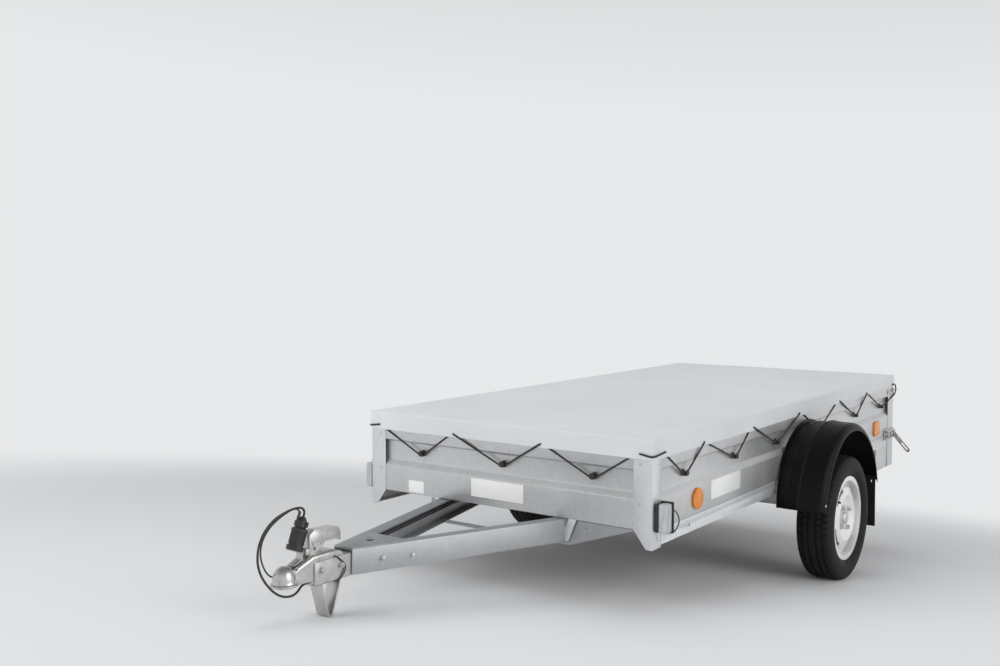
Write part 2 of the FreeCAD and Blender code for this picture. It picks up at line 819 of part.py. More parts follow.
# Plug of the lighting cable, parked with its mouth on a steel strap that stands on the neck
plug_sizes = {
    "plug_ahead": 49,
    "plug_rise": 97,
    "plug_lean": 22,
    "plug_length": 101,
    "plug_ring_radius": 26,
    "plug_ring_length": 14,
    "plug_body_radius": 22,
    "plug_collar_radius": 25,
    "plug_collar_start": 54,
    "plug_collar_length": 9,
    "plug_nut_radius": 16,
    "plug_nut_start": 70,
    "plug_nut_length": 18,
    "plug_tail_radius": 7,
    "plug_eye_radius": 4.5,
    "plug_eye_offset": 6,
    "plug_eye_ahead": 13,
    "strap_half": 13,
    "strap_steel": 3,
    "strap_front": 22,
    "strap_rear": 24,
    "strap_foot": 33,
}
add_sizes(plug_sizes)
terms.update({
    "plug_y": "head_front - plug_ahead",
    "plug_z": "nose_bottom + plug_rise",
    "strap_top_y": "plug_y + strap_rear * cos(plug_lean) - seat_gap * sin(plug_lean)",
    "strap_top_z": "plug_z - strap_rear * sin(plug_lean) - seat_gap * cos(plug_lean)",
    "strap_tip_y": "strap_top_y - (strap_front + strap_rear) * cos(plug_lean)",
    "strap_tip_z": "strap_top_z + (strap_front + strap_rear) * sin(plug_lean)",
    "neck_slope": "(coupling_height - neck_height) / ball_ahead",
})


def on_neck(place, above):
    """Height above the neck's sloping roof at the given place."""
    return f"nose_bottom + neck_height + ({place} + ball_setback) * neck_slope + {above}"


plug = body("plug")
turned(plug, "Shell", "0", [
    ("0", "0"),
    ("plug_ring_radius", "0"),
    ("plug_ring_radius", "plug_ring_length"),
    ("plug_body_radius", "plug_ring_length"),
    ("plug_body_radius", "plug_collar_start"),
    ("plug_collar_radius", "plug_collar_start"),
    ("plug_collar_radius", "plug_collar_start + plug_collar_length"),
    ("plug_nut_radius", "plug_nut_start"),
    ("plug_nut_radius", "plug_nut_start + plug_nut_length"),
    ("plug_tail_radius", "plug_length"),
    ("0", "plug_length"),
])
pad(plug, "CableEye", "up", "plug_nut_start", "plug_length - fit_gap - plug_nut_start",
    circles=[("-plug_eye_offset", "-plug_eye_ahead", "plug_eye_radius")])
keep(plug, 0, "plug_y", "plug_z", axis=(1, 0, 0), angle="-plug_lean")
cord_labels.append("plug")

strap = body("plug_holder")
pad(strap, "Strap", "across", "-strap_half", "2 * strap_half", [
    ("strap_tip_y", "strap_tip_z"),
    ("strap_tip_y - strap_steel * sin(plug_lean)", "strap_tip_z - strap_steel * cos(plug_lean)"),
    ("strap_top_y - strap_steel",
     "strap_top_z + strap_steel * tan(plug_lean) - strap_steel / cos(plug_lean)"),
    ("strap_top_y - strap_steel", on_neck("strap_top_y - strap_steel", "seat_gap + strap_steel")),
    ("strap_top_y - strap_foot", on_neck("strap_top_y - strap_foot", "seat_gap + strap_steel")),
    ("strap_top_y - strap_foot", on_neck("strap_top_y - strap_foot", "seat_gap")),
    ("strap_top_y", on_neck("strap_top_y", "seat_gap")),
    ("strap_top_y", "strap_top_z"),
])
keep(strap)

# Cables: the lighting cable loops from its plug ahead of the nose, passes beside the ball socket, which
# stays open below, and ends in the gland under the neck. The thinner safety cable runs beside it to the
# lug on the far side of the drawbar head
cable_sizes = {
    "power_cable_size": 7,
    "safety_cable_size": 5,
    "loom_size": 7,
    "loom_thin_size": 5,
}
add_sizes(cable_sizes)
bend_share = 0.45
power_route = [
    (0, -2425.1, 617.9), (0.5, -2420.9, 628.1), (1, -2422.7, 641.0), (2, -2430.7, 651.2),
    (3, -2443.6, 656.7), (4, -2463.6, 658.1), (5, -2486.0, 656.0), (6, -2511.0, 651.5),
    (7, -2540.7, 641.3), (7, -2567.1, 623.0), (8, -2589.8, 598.9), (8, -2605.3, 569.0),
    (8, -2611.5, 535.1), (8, -2608.0, 503.0), (10, -2594.0, 468.5), (20, -2572.0, 434.0),
    (32, -2548.0, 412.5), (39, -2520.0, 405.5), (36, -2492.0, 407.5), (25, -2468.0, 413.0),
    (13, -2447.0, 418.0), (10, -2424.6, 419.5),
]
safety_route = [
    (-6, -2437.5, 621.9), (-6.3, -2434.5, 629.3), (-6.6, -2436.1, 638.2), (-7, -2442.8, 645.6),
    (-7.3, -2454.2, 649.3), (-7.6, -2470.5, 647.0), (-8, -2490.0, 640.0), (-9, -2511.5, 631.0),
    (-10, -2534.5, 618.0), (-11, -2555.7, 600.4), (-13, -2571.6, 576.5), (-15, -2578.9, 551.0),
    (-19, -2575.8, 522.9), (-25, -2563.3, 496.9), (-35, -2541.0, 468.0), (-46, -2511.0, 446.0),
    (-51, -2478.0, 438.0), (-51, -2448.0, 440.5), (-49, -2421.0, 448.5), (-47, -2395.6, 451.0),
]


def cable_tube(route, diameter):
    """A round tube along straight runs joined by tangent arcs as large as the runs allow."""
    corners = [Vector(*point) for point in route]
    edges = []
    radii = []
    start = corners[0]
    for before, corner, after in zip(corners, corners[1:], corners[2:]):
        arriving = corner.sub(before)
        leaving = after.sub(corner)
        turn = arriving.getAngle(leaving)
        cut = bend_share * min(arriving.Length, leaving.Length)
        radius = cut / math.tan(turn / 2)
        arriving.normalize()
        leaving.normalize()
        inwards = leaving.sub(arriving).normalize()
        first = corner - arriving * cut
        last = corner + leaving * cut
        middle = corner + inwards * (radius / math.cos(turn / 2) - radius)
        edges += [Part.LineSegment(start, first).toShape(), Part.Arc(first, middle, last).toShape()]
        radii.append(radius)
        start = last
    edges.append(Part.LineSegment(start, corners[-1]).toShape())
    path = Part.Wire(edges)
    section = Part.Wire(Part.Circle(corners[0], corners[1].sub(corners[0]), diameter / 2).toShape())
    tube = path.makePipeShell([section], True, False)
    full = math.pi * (diameter / 2) ** 2 * path.Length
    print(f"cable {path.Length:.1f} long, volume {tube.Volume / full:.4f} of section times length, "
          f"radii {' '.join(f'{radius:.0f}' for radius in radii)}")
    return tube


def cable(label, *tubes):
    """Lists the tubes as one sub-part."""
    made = doc.addObject("Part::Feature", label)
    made.Label = label
    made.Shape = tubes[0] if len(tubes) == 1 else Part.Compound(tubes)
    return made


keep(cable("power_cable", cable_tube(power_route, value("power_cable_size"))))
keep(cable("safety_cable", cable_tube(safety_route, value("safety_cable_size"))))
cord_labels.extend(("power_cable", "safety_cable"))


def loom_route(diameter, side, height):
    """From the drawbar head's rear wall out to the left-hand beam's web and along it to its end."""
    lean = value("tan(drawbar_spread)")
    inside = value("drawbar_front_half - web_run") - (diameter / 2 + value("seat_gap")) / value("cos(drawbar_spread)")
    joins = value("gusset_length - 2 * drawbar_front_half")
    end = value("drawbar_rear_run - drawbar_steel")
    return [(side, value("fit_gap"), height), (side - value("drawbar_steel"), value("drawbar_flange"), height),
            (-inside - joins * lean, joins, height), (-inside - end * lean, end, height)]


loom_sizes = {
    "loom_offset": -6,
    "loom_thin_offset": -14,
    "loom_height": 48,
    "loom_thin_height": 38,
}
add_sizes(loom_sizes)
loom = cable("drawbar_cables",
             cable_tube(loom_route(value("loom_size"), value("loom_offset"), value("loom_height")),
                        value("loom_size")),
             cable_tube(loom_route(value("loom_thin_size"), value("loom_thin_offset"), value("loom_thin_height")),
                        value("loom_thin_size")))
keep(loom, 0, "-drawbar_front", "drawbar_bottom", axis=(1, 0, 0), angle="-drawbar_slope")

# Rubber-suspended axle: beam, end brackets, trailing arms with their spindles
axle_sizes = {
    "beam_size": 60,
    "beam_wall": 4,
    "beam_ahead": 165,
    "beam_drop": 18,
    "bracket_steel": 5,
    "bracket_length": 150,
    "bracket_rise": 40,
    "arm_thickness": 20,
    "arm_radius": 34,
    "spindle_radius": 15,
}
add_sizes(axle_sizes)
terms.update({
    "beam_top": "rail_bottom - beam_drop",
    "beam_height": "beam_top - beam_size / 2",
    "arm_inner": "skin + 2 * seat_gap + bracket_steel",
})
axle = body("axle_beam")
pad(axle, "Tube", "across", "-skin", "2 * skin", [
    ("-beam_ahead - beam_size / 2", "beam_height - beam_size / 2"),
    ("-beam_ahead + beam_size / 2", "beam_height - beam_size / 2"),
    ("-beam_ahead + beam_size / 2", "beam_height + beam_size / 2"),
    ("-beam_ahead - beam_size / 2", "beam_height + beam_size / 2"),
])
pocket(axle, "Bore", "across", "-(half_width)", "box_width", [
    ("-beam_ahead - beam_size / 2 + beam_wall", "beam_height - beam_size / 2 + beam_wall"),
    ("-beam_ahead + beam_size / 2 - beam_wall", "beam_height - beam_size / 2 + beam_wall"),
    ("-beam_ahead + beam_size / 2 - beam_wall", "beam_height + beam_size / 2 - beam_wall"),
    ("-beam_ahead - beam_size / 2 + beam_wall", "beam_height + beam_size / 2 - beam_wall"),
])
keep(axle)


def axle_bracket(owner, name, side):
    """The plate outside the rail that carries the end of the axle beam."""
    start, length = span(side, "skin + seat_gap", "skin + seat_gap + bracket_steel")
    pad(owner, f"Plate{name}", "across", start, length, [
        ("-beam_ahead - bracket_length / 2", "rail_bottom + bracket_rise"),
        ("-beam_ahead + bracket_length / 2", "rail_bottom + bracket_rise"),
        ("-beam_ahead + bracket_length / 2", "rail_bottom"),
        ("-beam_ahead + beam_size / 2", "beam_height - beam_size / 2"),
        ("-beam_ahead - beam_size / 2", "beam_height - beam_size / 2"),
        ("-beam_ahead - bracket_length / 2", "rail_bottom"),
    ])


def swing_arm(name, side):
    """Trailing arm from the beam's end back and down to the wheel, with the spindle."""
    arm = body(f"swing_arm_{name}")
    start, length = span(side, "arm_inner", "arm_inner + arm_thickness")
    pad(arm, "Eye", "across", start, length, circles=[("-beam_ahead", "beam_height", "arm_radius")])
    pad(arm, "Boss", "across", start, length, circles=[("0", "wheel_radius", "arm_radius")])
    pad(arm, "Arm", "across", start, length, [
        ("-beam_ahead", "beam_height + arm_radius"),
        ("-beam_ahead", "beam_height - arm_radius"),
        ("0", "wheel_radius - arm_radius"),
        ("0", "wheel_radius + arm_radius"),
    ])
    start, length = span(side, "arm_inner", "wheel_plane")
    pad(arm, "Spindle", "across", start, length, circles=[("0", "wheel_radius", "spindle_radius")])
    keep(arm)


axle_brackets = body("axle_brackets")
for name, side in SIDES:
    axle_bracket(axle_brackets, name.capitalize(), side)
keep(axle_brackets)
for name, side in SIDES:
    swing_arm(name, side)

# Wheels: hub, pressed steel rim and tyre, drawn about the X axis with their outer face at positive X
wheel_sizes = {
    "hub_radius": 52,
    "hub_inner_reach": 70,
    "hub_cap_radius": 28,
    "hub_cap_reach": 60,
    "hub_cap_round": 8,
    "hub_bore_gap": 0.4,
    "rim_half": 63,
    "flange_radius": 182,
    "flange_steel": 7,
    "bead_radius": 166,
    "bead_plane": 31.5,
    "well_radius": 145,
    "well_plane": 12.6,
    "rim_steel": 3,
    "disc_plane": 47,
    "disc_radius": 72,
    "disc_crown_radius": 98,
    "disc_crown_plane": 61,
    "disc_shoulder_radius": 133,
    "disc_shoulder_plane": 50,
    "disc_steel": 4,
    "window_radius": 121,
    "window_angle": 35,
    "window_sweep": 44,
    "tyre_half": 77.5,
    "tread_half": 60,
    "tyre_bulge_radius": 224,
    "tyre_bead_gap": 0.3,
}
add_sizes(wheel_sizes)
window_count = 4


def revolved(owner, name, points, label="Revolution"):
    """A ring or disc turned about the X axis from its half section."""
    drawn = sketch(owner, name + "Section", "along")
    draw(drawn, points)
    made = owner.newObject("PartDesign::Revolution", name)
    made.Profile = drawn
    made.ReferenceAxis = (drawn, ["H_Axis"])
    made.Angle = 360
    return made


def wheel_place(piece, side):
    keep(piece, f"{side} * wheel_plane", 0, "wheel_radius", angle=0 if side > 0 else 180)


def wheel_hub(name, side):
    hub = body(f"hub_{name}")
    revolved(hub, "Drum", [
        ("-hub_inner_reach", "spindle_radius + hub_bore_gap"),
        ("-hub_inner_reach", "hub_radius"),
        ("disc_plane - disc_steel - seat_gap", "hub_radius"),
        ("disc_plane - disc_steel - seat_gap", "hub_cap_radius"),
        ("hub_cap_reach - hub_cap_round", "hub_cap_radius", "-hub_cap_round"),
        ("hub_cap_reach", "hub_cap_radius - hub_cap_round"),
        ("hub_cap_reach", "0"),
        ("hub_bore_gap", "0"),
        ("hub_bore_gap", "spindle_radius + hub_bore_gap"),
    ])
    wheel_place(hub, side)


def wheel_rim(name, side):
    """The pressed disc is turned and its windows are cut before the rim ring is added."""
    rim = body(f"rim_{name}")
    revolved(rim, "Disc", [
        ("disc_plane", "hub_cap_radius + fit_gap"),
        ("disc_plane", "disc_radius"),
        ("disc_crown_plane", "disc_crown_radius"),
        ("disc_shoulder_plane", "disc_shoulder_radius"),
        ("well_plane", "well_radius - rim_steel / 2"),
        ("well_plane - disc_steel", "well_radius - rim_steel / 2"),
        ("well_plane - disc_steel", "well_radius - rim_steel / 2 - disc_steel"),
        ("disc_shoulder_plane - disc_steel", "disc_shoulder_radius - disc_steel"),
        ("disc_crown_plane - disc_steel", "disc_crown_radius"),
        ("disc_plane - disc_steel", "disc_radius"),
        ("disc_plane - disc_steel", "hub_cap_radius + fit_gap"),
    ])
    drawn = sketch(rim, "WindowSection", "along")
    drawn.AttachmentOffset = FreeCAD.Placement(Vector(), FreeCAD.Rotation(Vector(1, 0, 0), 1))
    drawn.setExpression("AttachmentOffset.Rotation.Angle", bound("window_angle - window_sweep / 2"))
    draw(drawn, [
        ("well_plane - disc_steel - overrun", "window_radius"),
        ("disc_crown_plane + overrun", "window_radius"),
        ("disc_crown_plane + overrun", "well_radius"),
        ("well_plane - disc_steel - overrun", "well_radius"),
    ])
    window = rim.newObject("PartDesign::Groove", "Window")
    window.Profile = drawn
    window.ReferenceAxis = (drawn, ["H_Axis"])
    window.setExpression("Angle", bound("window_sweep"))
    windows = rim.newObject("PartDesign::PolarPattern", "Windows")
    windows.Originals = [window]
    windows.Axis = (drawn, ["H_Axis"])
    windows.Angle = 360
    windows.Occurrences = window_count
    rim.Tip = windows
    revolved(rim, "Ring", [
        ("-rim_half", "flange_radius"),
        ("-rim_half", "bead_radius - rim_steel"),
        ("-bead_plane", "well_radius - rim_steel"),
        ("well_plane", "well_radius - rim_steel"),
        ("bead_plane", "bead_radius - rim_steel"),
        ("rim_half", "bead_radius - rim_steel"),
        ("rim_half", "flange_radius"),
        ("rim_half - flange_steel", "flange_radius"),
        ("rim_half - flange_steel", "bead_radius"),
        ("bead_plane", "bead_radius"),
        ("well_plane", "well_radius"),
        ("-bead_plane", "well_radius"),
        ("-rim_half + flange_steel", "bead_radius"),
        ("-rim_half + flange_steel", "flange_radius"),
    ])
    wheel_place(rim, side)


def wheel_tyre(name, side):
    tyre = body(f"tyre_{name}")
    seat_line = "bead_radius + tyre_bead_gap"
    bead_edge = "rim_half - flange_steel - tyre_bead_gap"
    half = [
        (bead_edge, seat_line),
        (bead_edge, "flange_radius + tyre_bead_gap"),
        ("tyre_half", "tyre_bulge_radius"),
        ("tread_half", "wheel_radius"),
    ]
    revolved(tyre, "Section", half + [(f"-({u})", v) for u, v in reversed(half)])
    wheel_place(tyre, side)


for name, side in SIDES:
    wheel_hub(name, side)
    wheel_rim(name, side)
    wheel_tyre(name, side)

# Mudguards: moulded arches bolted to the box side, each with a flap behind the tyre
guard_sizes = {
    "guard_centre_rise": 30,
    "guard_radius": 372,
    "guard_crown": 14,
    "guard_plastic": 3,
    "guard_lip": 36,
    "guard_cover": 7,
    "guard_flange": 14,
    "guard_start": 12,
    "guard_sweep": 159,
    "rib_width": 6,
    "rib_rise": 3,
    "rib_flank": 1.5,
    "rib_near": 48,
    "flap_width": 165,
    "flap_thickness": 4,
    "flap_drop": 105,
}
add_sizes(guard_sizes)
terms.update({
    "guard_height": "wheel_radius + guard_centre_rise",
    "guard_inner": "skin + seat_gap",
    "guard_width": "wheel_plane + tyre_half + guard_cover - guard_inner",
    "flap_bottom": "wheel_radius - flap_drop",
})


def crown_height(place):
    """Height of the arch's outside, inwards of its crown, at a distance from the box."""
    return f"guard_radius + guard_crown * ({place} - guard_plastic) / (guard_width / 2 - guard_plastic)"


def mudguard(name, side):
    """The arch is turned about its own centre from the section, from behind the tyre to its front."""
    guard = body(f"mudguard_{name}")
    drawn = sketch(guard, "GuardSection", "along")
    ribs = []
    for foot in ("guard_width / 2", "rib_near + rib_width"):
        ribs += [(foot, crown_height(foot)),
                 (f"{foot} - rib_flank", f"{crown_height(foot)} + rib_rise"),
                 (f"{foot} - rib_width + rib_flank", f"{crown_height(foot)} + rib_rise"),
                 (f"{foot} - rib_width", crown_height(f"{foot} - rib_width"))]
    draw(drawn, mirrored([
        ("0", "guard_radius + guard_flange"),
        ("0", "guard_radius - guard_plastic"),
        ("guard_plastic", "guard_radius - guard_plastic"),
        ("guard_width / 2", "guard_radius + guard_crown - guard_plastic"),
        ("guard_width - guard_lip", "guard_radius - guard_plastic", "-(guard_lip - guard_plastic)"),
        ("guard_width - guard_plastic", "guard_radius - guard_lip"),
        ("guard_width", "guard_radius - guard_lip", "guard_lip"),
        ("guard_width - guard_lip", "guard_radius"),
        *ribs,
        ("guard_plastic", "guard_radius"),
        ("guard_plastic", "guard_radius + guard_flange"),
    ], side))
    arch = guard.newObject("PartDesign::Revolution", "Arch")
    arch.Profile = drawn
    arch.ReferenceAxis = (drawn, ["H_Axis"])
    arch.setExpression("Angle", bound("guard_sweep"))
    keep(guard, f"{side} * guard_inner", 0, "guard_height", axis=(1, 0, 0), angle="guard_start - 90")


for name, side in SIDES:
    mudguard(name, side)


def mudflap(owner, name, side):
    """The rubber sheet that hangs behind the tyre."""
    start, length = span(side, "guard_inner + guard_width - flap_width - guard_lip",
                         "guard_inner + guard_width - guard_lip")
    edge = "(guard_radius - guard_plastic) * cos(guard_start) - seat_gap"
    pad(owner, f"Sheet{name}", "across", start, length, [
        (f"{edge} - flap_thickness", "flap_bottom"),
        (edge, "flap_bottom"),
        (edge, "guard_height + (guard_radius - guard_plastic) * sin(guard_start)"),
        (f"{edge} - flap_thickness", "guard_height + (guard_radius - guard_plastic) * sin(guard_start)"),
    ])


mudflaps = body("mudflaps")
for name, side in SIDES:
    mudflap(mudflaps, name.capitalize(), side)
keep(mudflaps)

# Tailgate, hinged on pins near its top, under the cover's skirt
gate_sizes = {
    "gate_bottom_gap": 6,
    "gate_top_gap": 13,
    "hinge_height": 225,
    "hinge_inset": 10,
    "hinge_pin": 5,
    "hinge_pin_reach": 18,
    "hinge_bore_gap": 0.4,
    "hinge_plate": 3,
    "hinge_plate_size": 40,
    "hinge_plate_half": 18,
    "hinge_plate_round": 8,
    "hinge_hook": 5,
    "hinge_hook_reach": 12,
    "gate_end": 20,
}
add_sizes(gate_sizes)
terms.update({
    "gate_half": "half_width - rear_post_face - swing_gap",
    "gate_bottom": "deck_height + gate_bottom_gap",
    "hinge_axis_y": "rear_face - hinge_inset",
    "hinge_axis_z": "deck_height + hinge_height",
})
gate = body("tailgate")
gate_outline = [(f"rear_face - ({u})", f"gate_bottom + ({v})")
                for u, v in wall_outline("(wall_height - gate_bottom_gap - gate_top_gap)")]
pad(gate, "GateProfile", "across", "-(gate_half)", "2 * gate_half", gate_outline)
for name, side in SIDES:
    start, length = span(side, "gate_half - gate_end", "gate_half")
    pad(gate, f"End{name.capitalize()}", "across", start, length, [
        ("rear_face", "gate_bottom"),
        ("rear_face", "wall_top - gate_top_gap"),
        ("rear_face - wall_flange", "wall_top - gate_top_gap"),
        ("rear_face - wall_flange", "gate_bottom"),
    ])
for name, side in SIDES:
    start, length = span(side, "gate_half - hinge_pin_reach", "gate_half + overrun")
    pocket(gate, f"Bore{name.capitalize()}", "across", start, length,
           circles=[("hinge_axis_y", "hinge_axis_z", "hinge_pin + hinge_bore_gap")])
keep(gate)


def hinge_hole(owner, name, side):
    """The hole that the hinge pin goes through, in a post or a side panel."""
    start, length = span(side, "skin - wall_flange - fit_gap", "half_width + overrun")
    pocket(owner, f"PinHole{name}", "across", start, length,
           circles=[("hinge_axis_y", "hinge_axis_z", "hinge_pin + hinge_bore_gap")])


for name, side in SIDES:
    hinge_hole(rear_posts, name.capitalize(), side)
    hinge_hole(side_panels[name], name.capitalize(), side)


def tailgate_hinge(owner, name, side):
    """Plate on the post's side and the pin that goes through it into the tailgate's end."""
    start, length = span(side, "half_width", "half_width + hinge_plate")
    pad(owner, f"Plate{name}", "across", start, length,
        rounded("hinge_axis_y - hinge_plate_size", "hinge_axis_z - hinge_plate_half",
                "hinge_axis_y + hinge_inset", "hinge_axis_z + hinge_plate_half", "hinge_plate_round"))
    start, length = span(side, "half_width + seat_gap", "half_width + hinge_hook_reach")
    pad(owner, f"Hook{name}", "across", start, length,
        circles=[("hinge_axis_y - hinge_plate_size + hinge_plate_round",
                  "hinge_axis_z + hinge_plate_half - hinge_plate_round", "hinge_hook")])
    start, length = span(side, "gate_half - hinge_pin_reach + fit_gap", "half_width + hinge_plate")
    pad(owner, f"Pin{name}", "across", start, length,
        circles=[("hinge_axis_y", "hinge_axis_z", "hinge_pin")])


hinges = body("tailgate_hinges")
for name, side in SIDES:
    tailgate_hinge(hinges, name.capitalize(), side)
keep(hinges)

# Cover: a flat tarpaulin lid with a skirt all round
cover_sizes = {
    "cover_thickness": 2,
    "cover_gap": 0.5,
    "skirt_depth": 60,
}
add_sizes(cover_sizes)
terms.update({
    "cover_top": "wall_top + cover_gap + cover_thickness",
})
cover = body("cover")


def ring_outline(margin):
    return [
        (f"-(half_width + {margin})", f"front_face - ({margin})"),
        (f"half_width + {margin}", f"front_face - ({margin})"),
        (f"half_width + {margin}", f"rear_face + {margin}"),
        (f"-(half_width + {margin})", f"rear_face + {margin}"),
    ]


pad(cover, "Lid", "up", "cover_top - skirt_depth", "skirt_depth", ring_outline("cover_gap + cover_thickness"))
pocket(cover, "Inside", "up", "cover_top - skirt_depth - overrun",
       "skirt_depth - cover_thickness + overrun", ring_outline("cover_gap"))
keep(cover)

# Lamps, reflectors and the board under the tailgate that carries the rear lamps
lamp_sizes = {
    "board_height": 110,
    "board_steel": 2,
    "board_return": 280,
    "rear_lamp_length": 200,
    "rear_lamp_height": 90,
    "rear_lamp_depth": 45,
    "rear_lamp_inset": 30,
    "marker_reach": 48,
    "marker_depth": 42,
    "marker_height": 100,
    "marker_base": 15,
    "marker_round": 9,
    "marker_rise": 55,
    "marker_inset": 12,
    "reflector_radius": 40,
    "reflector_thickness": 8,
    "reflector_setback": 344,
    "reflector_rise": 57,
    "rear_reflector_width": 90,
    "rear_reflector_height": 78,
    "rear_reflector_inset": 335,
    "rear_reflector_round": 24,
    "rear_lamp_round": 14,
    "rear_lens_margin": 6,
    "rear_lens_depth": 30,
}
add_sizes(lamp_sizes)
board = body("rear_lamp_board")
terms.update({
    "board_half": "half_width - rear_post_face - seat_gap",
    "board_rear": "rear_face",
})
pad(board, "Face", "along", "board_rear - board_steel", "board_steel", [
    ("-(board_half)", "rear_post_bottom"),
    ("board_half", "rear_post_bottom"),
    ("board_half", "rear_post_bottom + board_height"),
    ("-(board_half)", "rear_post_bottom + board_height"),
])
pad(board, "TopFold", "up", "rear_post_bottom + board_height - board_steel", "board_steel", [
    ("-(board_half)", "board_rear - rear_member_inset"),
    ("board_half", "board_rear - rear_member_inset"),
    ("board_half", "board_rear"),
    ("-(board_half)", "board_rear"),
])
keep(board)

side_plates = body("rear_side_plates")
rear_lamps = body("rear_lamps")
marker_lamps = body("marker_lamps")
marker_bases = body("marker_lamp_bases")
reflectors = body("side_reflectors")
terms.update({
    "lamp_middle": "rear_post_bottom + board_height / 2",
    "marker_centre": "deck_height + marker_rise",
    "reflector_centre": "deck_height + reflector_rise",
})


def rear_side_plate(owner, name, side):
    """Plate from the rail down beside the lamp board."""
    start, length = span(side, "skin - board_steel - seat_gap", "skin - seat_gap")
    pad(owner, f"Plate{name}", "across", start, length, [
        ("rear_face - board_return", "rear_post_bottom"),
        ("rear_face - post_steel - fit_gap", "rear_post_bottom"),
        ("rear_face - post_steel - fit_gap", "rail_bottom - seat_gap"),
        ("rear_face - board_return", "rail_bottom - seat_gap"),
    ])


def rear_lamp(owner, name, side):
    """Combined rear lamp: a tray on the board and the lens that stands out of it."""
    start, length = "board_half - rear_lamp_inset - rear_lamp_length", "board_half - rear_lamp_inset"
    low, high = "lamp_middle - rear_lamp_height / 2", "lamp_middle + rear_lamp_height / 2"
    pad(owner, f"Tray{name}", "along", "rear_face + seat_gap", "rear_lens_depth",
        mirrored(rounded(start, low, length, high, "rear_lamp_round"), side))
    pad(owner, f"Lens{name}", "along", "rear_face + rear_lens_depth", "rear_lamp_depth - rear_lens_depth",
        mirrored(rounded(f"{start} + rear_lens_margin", f"{low} + rear_lens_margin",
                         f"{length} - rear_lens_margin", f"{high} - rear_lens_margin",
                         "(rear_lamp_round - rear_lens_margin)"), side))


def marker_lamp(lens, base, name, side):
    """White front lamp on a black base that stands out from the side of the front post."""
    outline = rounded("front_face + marker_inset", "marker_centre - marker_height / 2",
                      "front_face + marker_inset + marker_depth", "marker_centre + marker_height / 2",
                      "marker_round")
    start, length = span(side, "half_width + seat_gap", "half_width + marker_base")
    pad(base, f"Base{name}", "across", start, length, outline)
    start, length = span(side, "half_width + marker_base + seat_gap", "half_width + marker_reach")
    pad(lens, f"Lens{name}", "across", start, length, outline)


def side_reflector_pair(owner, name, side):
    """Round reflector ahead of the wheel and the oblong one behind it."""
    start, length = span(side, "skin + seat_gap", "skin + seat_gap + reflector_thickness")
    pad(owner, f"Round{name}", "across", start, length,
        circles=[("front_face + reflector_setback", "reflector_centre", "reflector_radius")])
    pad(owner, f"Oblong{name}", "across", start, length,
        rounded("rear_face - rear_reflector_inset", "reflector_centre - rear_reflector_height / 2",
                "rear_face - rear_reflector_inset + rear_reflector_width",
                "reflector_centre + rear_reflector_height / 2", "rear_reflector_round"))


for name, side in SIDES:
    rear_side_plate(side_plates, name.capitalize(), side)
    rear_lamp(rear_lamps, name.capitalize(), side)
    marker_lamp(marker_lamps, marker_bases, name.capitalize(), side)
    side_reflector_pair(reflectors, name.capitalize(), side)
for group in (side_plates, rear_lamps, marker_lamps, marker_bases, reflectors):
    keep(group)

# Draw latches at the foot of the rear posts, which hold the tailgate shut: two bars with rollers
# between them on a plate, and a slotted lever that hangs out from the side
latch_sizes = {
    "latch_length": 150,
    "latch_height": 60,
    "latch_steel": 3,
    "latch_round": 6,
    "latch_rise": 6,
    "latch_depth": 14,
    "latch_bar": 10,
    "latch_bar_rise": 12,
    "latch_bar_end": 8,
    "roller_radius": 13,
    "roller_reach": 20,
    "roller_first": 124,
    "roller_second": 74,
    "roller_third": 24,
    "lever_setback": 28,
    "lever_steel": 6,
    "lever_root": 14,
    "lever_root_drop": 4,
    "lever_angle": 48,
    "lever_length": 116,
    "lever_half": 11,
    "lever_round": 12,
    "slot_half": 4.5,
    "slot_round": 5,
    "slot_length": 42,
    "slot_end": 8,
}
add_sizes(latch_sizes)
terms.update({
    "latch_centre": "deck_height + latch_rise",
    "lever_root_x": "half_width + lever_root",
    "lever_root_z": "latch_centre - lever_root_drop",
})
latches = body("tailgate_latches")


def lever_point(along, across):
    """A place on the lever, from its distances along the lever and across it."""
    return (f"lever_root_x + ({along}) * cos(lever_angle) + ({across}) * sin(lever_angle)",
            f"lever_root_z - ({along}) * sin(lever_angle) + ({across}) * cos(lever_angle)")


